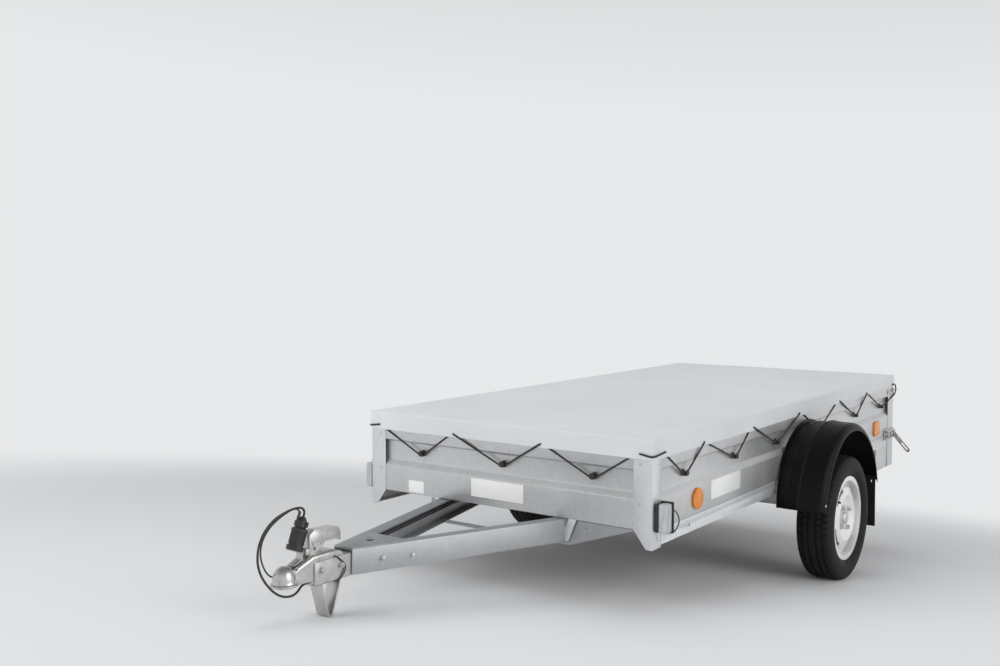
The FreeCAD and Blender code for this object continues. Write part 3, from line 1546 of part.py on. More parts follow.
def tailgate_latch(owner, name, side):
    """The latch on one post, drawn from the plate outwards."""
    start, length = span(side, "half_width + seat_gap", "half_width + latch_steel")
    pad(owner, f"Plate{name}", "across", start, length,
        rounded("rear_face - latch_length", "latch_centre - latch_height / 2",
                "rear_face - fit_gap", "latch_centre + latch_height / 2", "latch_round"))
    start, length = span(side, "half_width + seat_gap", "half_width + latch_depth")
    for bar, low in (("UpperBar", "latch_centre + latch_bar_rise"),
                     ("LowerBar", "latch_centre - latch_bar_rise - latch_bar")):
        pad(owner, bar + name, "across", start, length, [
            ("rear_face - latch_length + latch_bar_end", low),
            ("rear_face - latch_bar_end", low),
            ("rear_face - latch_bar_end", f"{low} + latch_bar"),
            ("rear_face - latch_length + latch_bar_end", f"{low} + latch_bar"),
        ])
    start, length = span(side, "half_width + seat_gap", "half_width + roller_reach")
    pad(owner, f"Rollers{name}", "across", start, length,
        circles=[(f"rear_face - {setback}", "latch_centre", "roller_radius")
                 for setback in ("roller_first", "roller_second", "roller_third")])
    pad(owner, f"Lever{name}", "along", "rear_face - lever_setback", "lever_steel", mirrored([
        lever_point("0", "-lever_half"),
        (*lever_point("lever_length", "-lever_half"), "lever_round"),
        lever_point("lever_length", "lever_half"),
        lever_point("0", "lever_half"),
    ], side))
    slot_far = "lever_length - slot_end"
    slot_near = "lever_length - slot_end - slot_length"
    pocket(owner, f"LeverSlot{name}", "along", "rear_face - lever_setback - fit_gap", "lever_steel + 2 * fit_gap",
           mirrored([
               lever_point(slot_near, "-slot_half"),
               (*lever_point(slot_far, "-slot_half"), "slot_round"),
               lever_point(slot_far, "slot_half"),
               (*lever_point(slot_near, "slot_half"), "slot_round"),
           ], side))


for name, side in SIDES:
    tailgate_latch(latches, name.capitalize(), side)
keep(latches)

# Lacing knobs for the cover's elastic cord
knob_sizes = {
    "knob_base_radius": 13,
    "knob_base": 5,
    "knob_neck_radius": 6,
    "knob_neck": 12,
    "knob_head_radius": 11,
    "knob_head": 6,
    "knob_rise": 165,
}
add_sizes(knob_sizes)
terms["knob_height"] = "deck_height + knob_rise"
end_knob_shares = (-0.3064, 0, 0.3064)
side_knob_shares = (0.0777, 0.2345, 0.3885, 0.5735, 0.762, 0.9135)


def knob(owner, name, normal, face, out, u, v):
    """Base, neck and head of one knob, on a face at the given place, standing out along its sign."""
    steps = (("Base", "0", "knob_base", "knob_base_radius"),
             ("Neck", "knob_base", "knob_neck", "knob_neck_radius"),
             ("Head", "knob_base + knob_neck", "knob_head", "knob_head_radius"))
    for part, low, thick, radius in steps:
        start = f"({face}) + ({low})" if out > 0 else f"({face}) - ({low}) - ({thick})"
        pad(owner, part + name, normal, start, thick, circles=[(u, v, radius)])


knobs = body("lacing_knobs")
for number, share in enumerate(end_knob_shares):
    knob(knobs, f"Front{number + 1}", "along", "front_face + post_steel + recess_depth - seat_gap", -1,
         f"box_width * {share}", "knob_height")
for name, side in SIDES:
    for number, share in enumerate(side_knob_shares):
        knob(knobs, f"{name.capitalize()}{number + 1}", "across", f"{side} * (skin - recess_depth + seat_gap)", side,
             f"front_face + box_length * {share}", "knob_height")
keep(knobs)
gate_knobs = body("tailgate_knobs")
for number, share in enumerate(end_knob_shares):
    knob(gate_knobs, f"Rear{number + 1}", "along", "rear_face - recess_depth + seat_gap", 1,
         f"box_width * {share}", "knob_height")
keep(gate_knobs)

# The origin goes under the middle of the parked trailer
doc.recompute()
footprint = FreeCAD.BoundBox()
for piece in pieces:
    if piece.Label not in cord_labels:
        footprint.add(piece.Shape.optimalBoundingBox())
parked.Placement = FreeCAD.Placement(Vector(0, -footprint.Center.y, 0), FreeCAD.Rotation()).multiply(parked.Placement)
doc.recompute()

# Check, then write
for item in doc.Objects:
    if "Invalid" in item.State or "Error" in item.State:
        raise RuntimeError(f"{item.Label}: {item.State}")
for piece in pieces:
    if piece.Shape.isNull() or not piece.Shape.isValid():
        raise RuntimeError(f"{piece.Label}: no valid shape")
os.makedirs("parts", exist_ok=True)
for piece in pieces:
    piece.Shape.exportStep(f"parts/{piece.Label}.step")
print(f"{len(pieces)} pieces, tipped {tip:.4f} degrees, moved {-footprint.Center.y:.2f} mm")
for piece in pieces:
    box = piece.Shape.BoundBox
    print(f"{piece.Label:26s} solids {len(piece.Shape.Solids)} volume {piece.Shape.Volume / 1000:9.1f} cm3  "
          f"x {box.XMin:8.1f} {box.XMax:8.1f}  y {box.YMin:8.1f} {box.YMax:8.1f}  z {box.ZMin:7.1f} {box.ZMax:7.1f}")
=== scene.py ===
import json
import math
from contextlib import contextmanager

import bpy
from mathutils import Matrix, Vector, noise


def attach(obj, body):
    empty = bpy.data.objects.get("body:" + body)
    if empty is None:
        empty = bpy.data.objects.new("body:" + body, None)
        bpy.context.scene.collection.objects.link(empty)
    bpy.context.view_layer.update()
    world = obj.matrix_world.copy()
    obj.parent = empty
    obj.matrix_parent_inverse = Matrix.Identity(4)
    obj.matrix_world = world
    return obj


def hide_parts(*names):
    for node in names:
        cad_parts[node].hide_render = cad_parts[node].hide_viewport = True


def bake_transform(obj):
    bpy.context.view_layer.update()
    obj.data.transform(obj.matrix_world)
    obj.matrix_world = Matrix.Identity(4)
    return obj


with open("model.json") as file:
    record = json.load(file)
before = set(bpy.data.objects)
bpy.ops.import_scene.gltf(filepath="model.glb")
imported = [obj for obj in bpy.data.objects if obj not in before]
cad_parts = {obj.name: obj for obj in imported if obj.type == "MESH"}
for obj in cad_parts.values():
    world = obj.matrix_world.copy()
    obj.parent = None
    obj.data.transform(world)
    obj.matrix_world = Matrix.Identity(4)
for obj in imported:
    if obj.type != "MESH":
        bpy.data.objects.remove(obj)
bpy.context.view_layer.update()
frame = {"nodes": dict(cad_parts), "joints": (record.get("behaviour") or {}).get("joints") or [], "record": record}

scene = bpy.context.scene
scene.view_settings.view_transform = "Standard"

# The trailer parks nose-down on its prop foot. The deck's mount gives the tip, the wheels' joint
# gives the line it turns about, and "level" takes a place on the level trailer (X across, Y
# rearwards from the wheels, Z up from the ground) to where it is when parked.
deck = [mount for mount in frame["record"]["mounts"] if mount["name"] == "load_deck"][0]
spin = [joint for joint in frame["joints"] if joint["name"] == "wheel_right_spin"][0]
tip = math.atan2(-deck["axis"][1], deck["axis"][2])
axle_y, axle_z = spin["pos_m"][1:]
level = (Matrix.Translation((0, axle_y, axle_z)) @ Matrix.Rotation(tip, 4, "X")
         @ Matrix.Translation((0, 0, -axle_z)))

# Camera: ahead of the right-hand front corner, looking down a little, level with the trailer
camera_place = Vector((2.336, -4.633, 1.354))
camera_azimuth, camera_pitch = math.radians(36.14), math.radians(3.43)
camera_focal_px, photo_width_px = 1076.5, 1000
back = Vector((math.sin(camera_azimuth) * math.cos(camera_pitch),
               -math.cos(camera_azimuth) * math.cos(camera_pitch), math.sin(camera_pitch)))
right = Vector((math.cos(camera_azimuth), math.sin(camera_azimuth), 0))
camera_axes = Matrix((right, back.cross(right), back)).transposed().to_4x4()
camera_data = bpy.data.cameras.new("camera")
camera_data.sensor_width = 36
camera_data.lens = camera_data.sensor_width * camera_focal_px / photo_width_px
camera_data.clip_end = 200
camera = bpy.data.objects.new("camera", camera_data)
camera.matrix_world = level @ Matrix.Translation(camera_place) @ camera_axes
scene.collection.objects.link(camera)
scene.camera = camera

# Floor and backdrop: one pale matt sweep of the studio, which turns into the even backdrop well away
# from the trailer


def primitive(kind, **sizes):
    """A new primitive, the only piece selected, with its place, turn and scale taken into its mesh."""
    bpy.ops.object.select_all(action="DESELECT")
    getattr(bpy.ops.mesh, f"primitive_{kind}_add")(**sizes)
    bpy.ops.object.transform_apply(location=True, rotation=True, scale=True)
    return bpy.context.object


def put(material, kind, settings=(), *sources, **inputs):
    """Adds a shader node. sources feed its first inputs in turn, and inputs are fed or set by name."""
    links = material.node_tree.links
    added = material.node_tree.nodes.new("ShaderNode" + kind)
    for setting, choice in dict(settings).items():
        setattr(added, setting, choice)
    for number, source in enumerate(sources):
        links.new(source, added.inputs[number])
    for label, given in inputs.items():
        socket = added.inputs[label.replace("_", " ")]
        if isinstance(given, bpy.types.NodeSocket):
            links.new(given, socket)
        else:
            socket.default_value = given
    return added


floor_half, fade_start, fade_end = 60, 2.4, 5.0
backdrop_tone = (0.80, 0.81, 0.82, 1)
floor = primitive("plane", size=2 * floor_half)
floor.name = "floor"
floor_paint = bpy.data.materials.new("floor_paint")
floor_paint.use_nodes = True
floor_nodes = floor_paint.node_tree.nodes
floor_shader = floor_nodes["Principled BSDF"]
floor_shader.inputs["Base Color"].default_value = backdrop_tone
floor_shader.inputs["Roughness"].default_value = 0.9
floor_shader.inputs["Specular IOR Level"].default_value = 0.1
floor_place = put(floor_paint, "TexCoord").outputs["Object"]
distance = put(floor_paint, "VectorMath", {"operation": "LENGTH"}, floor_place).outputs["Value"]
fade = put(floor_paint, "MapRange", {"interpolation_type": "SMOOTHSTEP"}, distance,
           From_Min=fade_start, From_Max=fade_end).outputs["Result"]
glow = put(floor_paint, "Emission", Color=backdrop_tone, Strength=1.0).outputs["Emission"]
mixed = put(floor_paint, "MixShader", (), fade, floor_shader.outputs["BSDF"], glow)
floor_paint.node_tree.links.new(mixed.outputs["Shader"], floor_nodes["Material Output"].inputs["Surface"])
floor.data.materials.append(floor_paint)

# Soft studio light: a large box over the trailer, one ahead of it and one at its right-hand side, in a
# pale room that grows darker overhead. Only the box at the side shows in shiny metal.
world = bpy.data.worlds.new("studio")
world.use_nodes = True
sky = world.node_tree.nodes["Background"]
sky.inputs["Color"].default_value = backdrop_tone
rays = put(world, "LightPath").outputs
seen = put(world, "Math", {"operation": "MAXIMUM"}, rays["Is Camera Ray"], rays["Is Glossy Ray"])
shown = put(world, "MapRange", (), seen.outputs["Value"], To_Min=0.8, To_Max=1.0).outputs["Result"]
height = put(world, "SeparateXYZ", (), put(world, "TexCoord").outputs["Generated"]).outputs["Z"]
overhead = put(world, "MapRange", (), height, From_Min=0.25, From_Max=0.8, To_Min=1.0, To_Max=0.4)
dimmed = put(world, "Math", {"operation": "MULTIPLY"}, shown, overhead.outputs["Result"])
world.node_tree.links.new(dimmed.outputs["Value"], sky.inputs["Strength"])
scene.world = world
lamps = (("top_box", (-0.5, 0.4, 4.2), (0, 0, 0), 4.5, 62, False),
         ("front_box", (-1.8, -6.6, 2.6), (0, -0.8, 0.5), 5.0, 232, False),
         ("side_box", (5.6, -0.6, 2.4), (0.6, 0.2, 0.4), 4.5, 130, True))
for name, place, target, size, power, mirrored in lamps:
    lamp = bpy.data.lights.new(name, "AREA")
    lamp.size = size
    lamp.energy = power
    holder = bpy.data.objects.new(name, lamp)
    aim = (Vector(target) - Vector(place)).to_track_quat("-Z", "Y").to_matrix().to_4x4()
    holder.matrix_world = Matrix.Translation(place) @ aim
    holder.visible_glossy = mirrored
    scene.collection.objects.link(holder)

# Galvanised steel of the box and frame: rails, posts, sill, cross-members, drawbar beams, axle,
# brackets and lamp board, each pressed or folded from sheet, bolted together and dipped in zinc.
# Their folds and cut edges are slightly round.


def toned(material, factor, low_tone, high_tone):
    """A colour that goes from one tone to another with a texture's value."""
    ramp = put(material, "ValToRGB", Fac=factor)
    for stop, place, tone in zip(ramp.color_ramp.elements, (0.3, 0.7), (low_tone, high_tone)):
        stop.position = place
        stop.color = (*tone, 1)
    return ramp.outputs["Color"]


def finish(name, low_tone, high_tone, patch, roughness, grain=0.002, relief=0.0002, stretch=(1, 1, 1),
           **surface):
    """A finish whose tone and gloss wander over patches, with a fine relief. Sizes are metres.

    roughness is its least and greatest, patch and grain are the sizes of a patch and of the relief,
    and surface gives the shader's other inputs, such as Metallic.
    """
    made = bpy.data.materials.new(name)
    made.use_nodes = True
    shader = made.node_tree.nodes["Principled BSDF"]
    links = made.node_tree.links
    place = put(made, "TexCoord").outputs["Object"]
    place = put(made, "Mapping", Vector=place, Scale=stretch).outputs["Vector"]
    patches = put(made, "TexNoise", Vector=place, Scale=1 / patch, Detail=3.0).outputs["Fac"]
    links.new(toned(made, patches, low_tone, high_tone), shader.inputs["Base Color"])
    gloss = put(made, "MapRange", Value=patches, From_Min=0.3, From_Max=0.7,
                To_Min=roughness[0], To_Max=roughness[1])
    links.new(gloss.outputs["Result"], shader.inputs["Roughness"])
    fine = put(made, "TexNoise", Vector=place, Scale=1 / grain, Detail=2.0).outputs["Fac"]
    bumped = put(made, "Bump", Height=fine, Distance=relief, Strength=1.0)
    links.new(bumped.outputs["Normal"], shader.inputs["Normal"])
    for label, given in surface.items():
        shader.inputs[label.replace("_", " ")].default_value = given
    return made


def galvanised_steel(name, low_tone, high_tone, roughness):
    """Hot-dip zinc: tones that wander, with the faint pattern of its crystals."""
    made = finish(name, low_tone, high_tone, 0.35, roughness, grain=0.006, relief=0.00006, Metallic=0.85)
    crystals = put(made, "TexVoronoi", Vector=put(made, "TexCoord").outputs["Object"], Scale=90.0)
    shade = put(made, "MapRange", Value=crystals.outputs["Color"], To_Min=0.955, To_Max=1.045)
    base = made.node_tree.nodes["Principled BSDF"].inputs["Base Color"]
    spangled = put(made, "HueSaturation", Color=base.links[0].from_socket, Value=shade.outputs["Result"])
    made.node_tree.links.new(spangled.outputs["Color"], base)
    return made


def alone(*pieces):
    """Makes the given pieces the only ones selected, and the first of them active."""
    bpy.ops.object.select_all(action="DESELECT")
    for piece in pieces:
        piece.select_set(True)
    bpy.context.view_layer.objects.active = pieces[0]


@contextmanager
def editing(piece, chosen="SELECT"):
    """Edit mode on one piece, all of it selected, or nothing, or with chosen=None as it was."""
    alone(piece)
    bpy.ops.object.mode_set(mode="EDIT")
    if chosen:
        bpy.ops.mesh.select_all(action=chosen)
    yield
    bpy.ops.object.mode_set(mode="OBJECT")


def smooth(piece, degrees=35):
    alone(piece)
    bpy.ops.object.shade_smooth_by_angle(angle=math.radians(degrees))


def apply(piece, kind, **settings):
    """Adds a modifier with its settings and applies it."""
    alone(piece)
    added = piece.modifiers.new(kind.lower(), kind)
    for setting, choice in settings.items():
        setattr(added, setting, choice)
    bpy.ops.object.modifier_apply(modifier=added.name)


def edges_rounded(piece, radius, segments=2, degrees=30):
    apply(piece, "BEVEL", width=radius, segments=segments, limit_method="ANGLE",
          angle_limit=math.radians(degrees), miter_outer="MITER_ARC", use_clamp_overlap=True)


def drilled(piece, radius, spots):
    """Cuts round holes through a level piece, each at a place and along its way."""
    for place, way in spots:
        drill = primitive("cylinder", vertices=20, radius=radius, depth=0.012, location=place,
                          rotation=Vector(way).to_track_quat("Z", "Y").to_euler())
        apply(piece, "BOOLEAN", object=drill, operation="DIFFERENCE", solver="EXACT")
        bpy.data.objects.remove(drill)


def copied(node):
    """A copy of a CAD piece on the level trailer, with its facets merged into whole faces."""
    mesh = frame["nodes"][node].data.copy()
    mesh.transform(level.inverted())
    mesh.materials.clear()
    piece = bpy.data.objects.new(node + "_finished", mesh)
    scene.collection.objects.link(piece)
    with editing(piece):
        bpy.ops.mesh.remove_doubles(threshold=0.00002)
        bpy.ops.mesh.dissolve_limited(angle_limit=math.radians(0.4))
    bpy.ops.mesh.customdata_custom_splitnormals_clear()
    return piece


def seated(piece, finish_used, body="root", nodes=()):
    """Puts a level piece's place into its mesh, tips it as parked, and names its finish and body."""
    piece.data.transform(level @ piece.matrix_world)
    piece.matrix_world = Matrix.Identity(4)
    piece.data.materials.clear()
    piece.data.materials.append(finish_used)
    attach(piece, body)
    if nodes:
        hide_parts(*nodes)
    return piece


def refinished(node, finish_used, rounding, segments=3, degrees=35, body="root", shaped=None,
               worked=None):
    """A CAD piece's copy with rounded edges, in its own finish, to be seen in the CAD piece's place.

    shaped and worked, where they are given, change the level copy before and after the rounding.
    """
    piece = copied(node)
    if shaped:
        shaped(piece)
    edges_rounded(piece, rounding, segments)
    if worked:
        worked(piece)
    smooth(piece, degrees)
    return seated(piece, finish_used, body, [node])


galvanised = galvanised_steel("galvanised", (0.58, 0.585, 0.59), (0.68, 0.685, 0.69), (0.36, 0.46))
fresh_zinc = galvanised_steel("fresh_zinc", (0.70, 0.71, 0.72), (0.78, 0.79, 0.80), (0.42, 0.50))
dull_zinc = galvanised_steel("dull_zinc", (0.38, 0.39, 0.40), (0.47, 0.48, 0.49), (0.46, 0.56))
sill_end = -0.332
rail_x, rail_hole_z, rail_hole_places = 0.638, 0.436, (-1.152, -1.263)
hole_radius, fold_radius = 0.0034, 0.0007
holes = {"front_sill": [((0.3767, -1.433, 0.4414), (0, 1, 0))],
         "side_rail_left": [((-rail_x, y, rail_hole_z), (1, 0, 0)) for y in rail_hole_places],
         "side_rail_right": [((rail_x, y, rail_hole_z), (1, 0, 0)) for y in rail_hole_places]}


def sill_cut(piece):
    """Takes off the sill's far part, beyond the far drawbar beam."""
    with editing(piece):
        bpy.ops.mesh.bisect(plane_co=(sill_end, 0, 0), plane_no=(-1, 0, 0), use_fill=True,
                            clear_outer=True)


for zinc_used, nodes in (
        (galvanised, ("rear_corner_posts", "rear_lamp_board", "rear_side_plates")),
        (fresh_zinc, ("side_rail_left", "side_rail_right", "front_corner_posts")),
        (dull_zinc, ("front_sill", "drawbar_crossmember", "floor_crossmember_front",
                     "floor_crossmember_rear", "rear_crossmember", "drawbar_beam_left",
                     "drawbar_beam_right", "drawbar_gusset", "axle_beam", "axle_brackets",
                     "swing_arm_left", "swing_arm_right"))):
    for node in nodes:
        refinished(node, zinc_used, fold_radius, segments=2,
                   shaped=sill_cut if node == "front_sill" else None,
                   worked=lambda piece: drilled(piece, hole_radius, holes.get(node, ())))

# Coupling and drawbar head: a pressed nose and neck, its lever, the welded trough that holds them and
# the V-shaped foot bar, all bright zinc-plated. The plug's holder and the tailgate's latches and
# hinges are small pressings of the same.


def joined(parts, name):
    alone(*parts)
    bpy.ops.object.join()
    parts[0].name = name
    return parts[0]


def turned(name, outline, steps, axis):
    """A shape turned about a line through the origin, from an outline of distances along X and Z."""
    piece = primitive("circle", vertices=len(outline), radius=1, fill_type="NOTHING")
    piece.name = name
    for vertex, (u, v) in zip(piece.data.vertices, outline):
        vertex.co = (u, 0, v)
    with editing(piece):
        bpy.ops.mesh.spin(steps=steps, angle=2 * math.pi, center=(0, 0, 0), axis=axis)
        bpy.ops.mesh.select_all(action="SELECT")
        bpy.ops.mesh.remove_doubles(threshold=0.00001)
        bpy.ops.mesh.normals_make_consistent(inside=False)
    return piece


bright_zinc = finish("bright_zinc", (0.49, 0.49, 0.475), (0.63, 0.63, 0.61), 0.03, (0.26, 0.38),
                     grain=0.003, relief=0.00005, Metallic=1.0)
foot_bar_share = 0.85
ball_y, nose_low = -2.5043, 0.4270
dome = [(0.0262, 0.000), (0.0390, 0.000), (0.0405, 0.0012), (0.0410, 0.004), (0.0405, 0.0072),
        (0.0390, 0.0085), (0.0360, 0.0095), (0.0345, 0.012), (0.0338, 0.018), (0.0334, 0.026),
        (0.0318, 0.034), (0.0288, 0.042), (0.0242, 0.049), (0.0180, 0.0545), (0.0110, 0.0577),
        (0.0040, 0.0590), (0.0, 0.0592), (0.0, 0.0530), (0.0262, 0.0400)]
socket_radius, nose_radius = 0.0265, 0.0405
nose_squeeze, nose_reach = 0.78, 0.02
crown_low, crown_squeeze = nose_low + 0.043, 0.3


def foot_narrowed(piece):
    piece.data.transform(Matrix.Scale(foot_bar_share, 4, (1, 0, 0)))


def nose_squeezed(piece):
    """Draws the plain nose in and its crown down, to go inside the dome."""
    for vertex in piece.data.vertices:
        spot = vertex.co
        out = math.hypot(spot.x, spot.y - ball_y)
        if socket_radius < out < nose_radius and spot.y < ball_y + nose_reach:
            spot.x *= nose_squeeze
            spot.y = ball_y + (spot.y - ball_y) * nose_squeeze
        if out < nose_radius and spot.z > crown_low:
            spot.z = crown_low + (spot.z - crown_low) * crown_squeeze


def domed(piece):
    """Adds the nose's dome, with its rolled lip, round the ball socket."""
    shell = turned("nose_dome", dome, 72, (0, 0, 1))
    shell.data.transform(Matrix.Translation((0, ball_y, nose_low)))
    joined([piece, shell], piece.name)


for node, rounding, shaped, worked in (
        ("coupling_body", 0.0025, nose_squeezed, domed), ("coupling_handle", 0.0012, None, None),
        ("drawbar_head", 0.0012, None, None), ("prop_foot", 0.0012, foot_narrowed, None),
        ("plug_holder", 0.0008, None, None), ("tailgate_latches", 0.0012, None, None),
        ("tailgate_hinges", 0.0012, None, None)):
    refinished(node, bright_zinc, rounding, degrees=40, shaped=shaped, worked=worked)

# Plug: a moulded black shell parked on its holder, with ribs along its grip, a raised ring near its
# mouth and the two lugs of its cable gland
black_plastic = finish("black_plastic", (0.012, 0.012, 0.012), (0.028, 0.028, 0.029), 0.03, (0.35, 0.5),
                       grain=0.0012, relief=0.00008)
plug = refinished("plug", black_plastic, 0.0012)
plug_mouth = Vector((0, -2.4633, 0.5240))
plug_way = Vector((0, 0.3746, 0.9272))
rib_count, rib_circle, rib_thick, rib_length, rib_middle = 16, 0.0222, 0.0026, 0.034, 0.036
band_radius, band_wire, band_up = 0.0262, 0.0012, 0.0125
lug_circle, lug_size, lug_up, lug_turn = 0.0170, (0.011, 0.009, 0.016), 0.0795, 0.3


def block_at(turn, circle, up, size, radius, segments):
    """A rounded block beside the plug's middle line, at a turn about it."""
    made = primitive("cube", size=1, location=(circle * math.cos(turn), circle * math.sin(turn), up),
                     scale=size, rotation=(0, 0, turn))
    edges_rounded(made, radius, segments)
    return made


grips = [block_at(2 * math.pi * k / rib_count, rib_circle, rib_middle, (rib_thick, rib_thick, rib_length),
                  0.0008, 2) for k in range(rib_count)]
grips.append(primitive("torus", major_radius=band_radius, minor_radius=band_wire, major_segments=48,
                       minor_segments=8, location=(0, 0, band_up)))
grips += [block_at(turn, lug_circle, lug_up, lug_size, 0.0022, 3) for turn in (lug_turn, math.pi + lug_turn)]
grip = joined(grips, "plug_grip")
smooth(grip, 40)
grip.data.transform(Matrix.Translation(plug_mouth) @ plug_way.to_track_quat("Z", "Y").to_matrix().to_4x4())
seated(grip, black_plastic)

# Lighting cable: a round black sheathed cable, 7 mm thick, that loops from the parked plug ahead of
# the nose and beside the ball socket into the gland under the coupling's neck. The thinner safety
# cable, 5 mm, runs beside it from its moulded sleeve to the lug on the drawbar head's far side.
cable_jacket = finish("cable_jacket", (0.012, 0.012, 0.013), (0.03, 0.03, 0.032), 0.02, (0.38, 0.55))


def tube(name, places, diameter, steps, sides):
    """One smooth round line, steps fine along and sides fine round it, through its control points."""
    line = bpy.data.curves.new(name, "CURVE")
    line.dimensions = "3D"
    line.bevel_depth = diameter / 2
    line.bevel_resolution = sides
    line.resolution_u = steps
    line.use_fill_caps = True
    spline = line.splines.new("NURBS")
    spline.points.add(len(places) - 1)
    for point, place in zip(spline.points, places):
        point.co = (*place, 1)
    spline.order_u = 3
    spline.use_endpoint_u = True
    drawn = bpy.data.objects.new(name, line)
    scene.collection.objects.link(drawn)
    return drawn


def cable(name, route_mm, diameter):
    """A free cable through a route in millimetres on the level trailer, held where the route ends."""
    places = [level @ (Vector(place) / 1000) for place in route_mm]
    made = tube(name, places, diameter, 10, 5)
    made.data.materials.append(cable_jacket)
    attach(made, "root")
    return made


power_route = [
    (0, -2425.1, 617.9), (0.5, -2420.9, 626.6), (1, -2422.7, 636.5), (2, -2430.7, 644.7),
    (3, -2443.6, 648.7), (4, -2463.6, 649.6), (5, -2486.0, 647.5), (6, -2511.0, 643.0),
    (7, -2540.7, 634.3), (7, -2567.1, 618.0), (8, -2589.8, 596.9), (8, -2605.3, 568.0),
    (8, -2611.5, 535.1), (8, -2608.0, 503.0), (10, -2594.0, 468.5), (20, -2572.0, 434.0),
    (32, -2548.0, 412.5), (39, -2520.0, 405.5), (36, -2492.0, 407.5), (25, -2468.0, 413.0),
    (13, -2447.0, 418.0), (10, -2424.6, 419.5),
]
safety_route = [
    (-6, -2437.5, 621.9), (-6.3, -2434.5, 629.3), (-6.6, -2436.1, 637.2), (-7, -2442.8, 643.1),
    (-7.3, -2454.2, 645.3), (-7.6, -2470.5, 643.0), (-8, -2490.0, 636.5), (-9, -2511.5, 628.0),
    (-10, -2534.5, 615.5), (-11, -2555.7, 598.9), (-13, -2571.6, 576.0), (-15, -2578.9, 551.0),
    (-19, -2575.8, 522.9), (-25, -2563.3, 496.9), (-35, -2541.0, 468.0), (-46, -2511.0, 446.0),
    (-51, -2478.0, 438.0), (-51, -2448.0, 440.5), (-49, -2421.0, 448.5), (-47, -2395.6, 451.0),
]
sleeve_foot = Vector(safety_route[0]) / 1000
sleeve_run = (Vector(safety_route[1]) - Vector(safety_route[0])).normalized()
sleeve_length, sleeve_radius = 0.014, 0.0042
sleeve = primitive("cylinder", vertices=20, radius=sleeve_radius, depth=sleeve_length,
                   location=sleeve_foot + sleeve_run * sleeve_length / 2,
                   rotation=sleeve_run.to_track_quat("Z", "Y").to_euler())
sleeve.name = "safety_cable_sleeve"
edges_rounded(sleeve, 0.0008)
smooth(sleeve)
seated(sleeve, cable_jacket)
power_cable = cable("power_cable_sheath", power_route, 0.007)
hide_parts("power_cable")
safety_cable = cable("safety_cable_sheath", safety_route, 0.005)
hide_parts("safety_cable")

# Drawbar cables: two more lengths of the same black cable, which run straight back inside the beams
# towards the lamps
inner_cables = frame["nodes"]["drawbar_cables"]
inner_cables.data.materials.clear()
inner_cables.data.materials.append(cable_jacket)

# Wheels: pressed steel rims lacquered silver, with windows round the disc, bolted to galvanised hubs
# that a round dust cap closes
rim_lacquer = finish("rim_lacquer", (0.78, 0.785, 0.79), (0.84, 0.845, 0.85), 0.08, (0.30, 0.38),
                     grain=0.0012, relief=0.00003, Metallic=0.35, Coat_Weight=0.4, Coat_Roughness=0.2)
for name in ("left", "right"):
    refinished(f"rim_{name}", rim_lacquer, 0.0018, body=f"wheel_{name}")
    refinished(f"hub_{name}", galvanised, 0.0018, body=f"wheel_{name}")

# Tyres: moulded rubber, with four grooves round the tread, slots across its ribs and shoulders, and
# walls with a raised ring, seated on the rims
tread_rubber = finish("tread_rubber", (0.006, 0.006, 0.0065), (0.012, 0.012, 0.0125), 0.05, (0.6, 0.75),
                      Specular_IOR_Level=0.25)
sides = (("left", -1), ("right", 1))
wheel_plane, wheel_radius, bead_radius = 0.764, 0.270, 0.1665
tread_steps, slot_every = 360, 6
half_section = [(0.0555, bead_radius), (0.0565, 0.176), (0.0585, 0.1815), (0.064, 0.1845),
                (0.070, 0.192), (0.0745, 0.203), (0.0748, 0.205), (0.0758, 0.2055), (0.0768, 0.213),
                (0.0775, 0.224), (0.0765, 0.236), (0.0735, 0.247), (0.0695, 0.256), (0.0655, 0.262),
                (0.061, 0.2655), (0.054, 0.2672), (0.046, 0.2684), (0.0448, 0.2622), (0.0412, 0.2622),
                (0.040, 0.2690), (0.030, 0.2697), (0.020, 0.2699), (0.0188, 0.2632), (0.0142, 0.2632),
                (0.013, 0.2700), (0.006, 0.2700)]
whole_section = half_section + [(-u, v) for u, v in reversed(half_section)]


def slot_depth(spot):
    """How deep the tread is cut at a place: across the shoulders, the middle ribs or the centre."""
    radius, across = math.hypot(spot.y, spot.z), abs(spot.x)
    step = round(math.degrees(math.atan2(spot.y, spot.z))) % tread_steps
    if 0.0455 < across < 0.0665 and radius > 0.261 and step % slot_every == 0:
        return 0.0045
    if 0.0195 < across < 0.041 and radius > 0.266 and (step + 3) % slot_every == 0:
        return 0.0035
    if across < 0.0135 and radius > 0.266 and (step + (2 if spot.x > 0 else 5)) % slot_every == 0:
        return 0.0025
    return 0


for name, side in sides:
    tyre = turned(f"tyre_tread_{name}", whole_section, tread_steps, (1, 0, 0))
    for vertex in tyre.data.vertices:
        share = 1 - slot_depth(vertex.co) / math.hypot(vertex.co.y, vertex.co.z)
        vertex.co = (vertex.co.x, vertex.co.y * share, vertex.co.z * share)
    smooth(tyre, 25)
    tyre.data.transform(Matrix.Translation((side * wheel_plane, 0, wheel_radius)))
    seated(tyre, tread_rubber, f"wheel_{name}", [f"tyre_{name}"])

# Wheel bolts and valves: four plated cone-seat bolts hold each rim to its hub, and a black rubber
# valve with its cap stands in the rim
bolt_circle, bolt_turn, bolt_face = 0.056, math.radians(33), 0.047
valve_circle, valve_turn, valve_face, valve_lean = 0.142, math.radians(51), 0.044, 0.35
stem_radius, stem_length, cap_step, cap_length, cap_growth = 0.004, 0.030, 0.0005, 0.009, 1.3


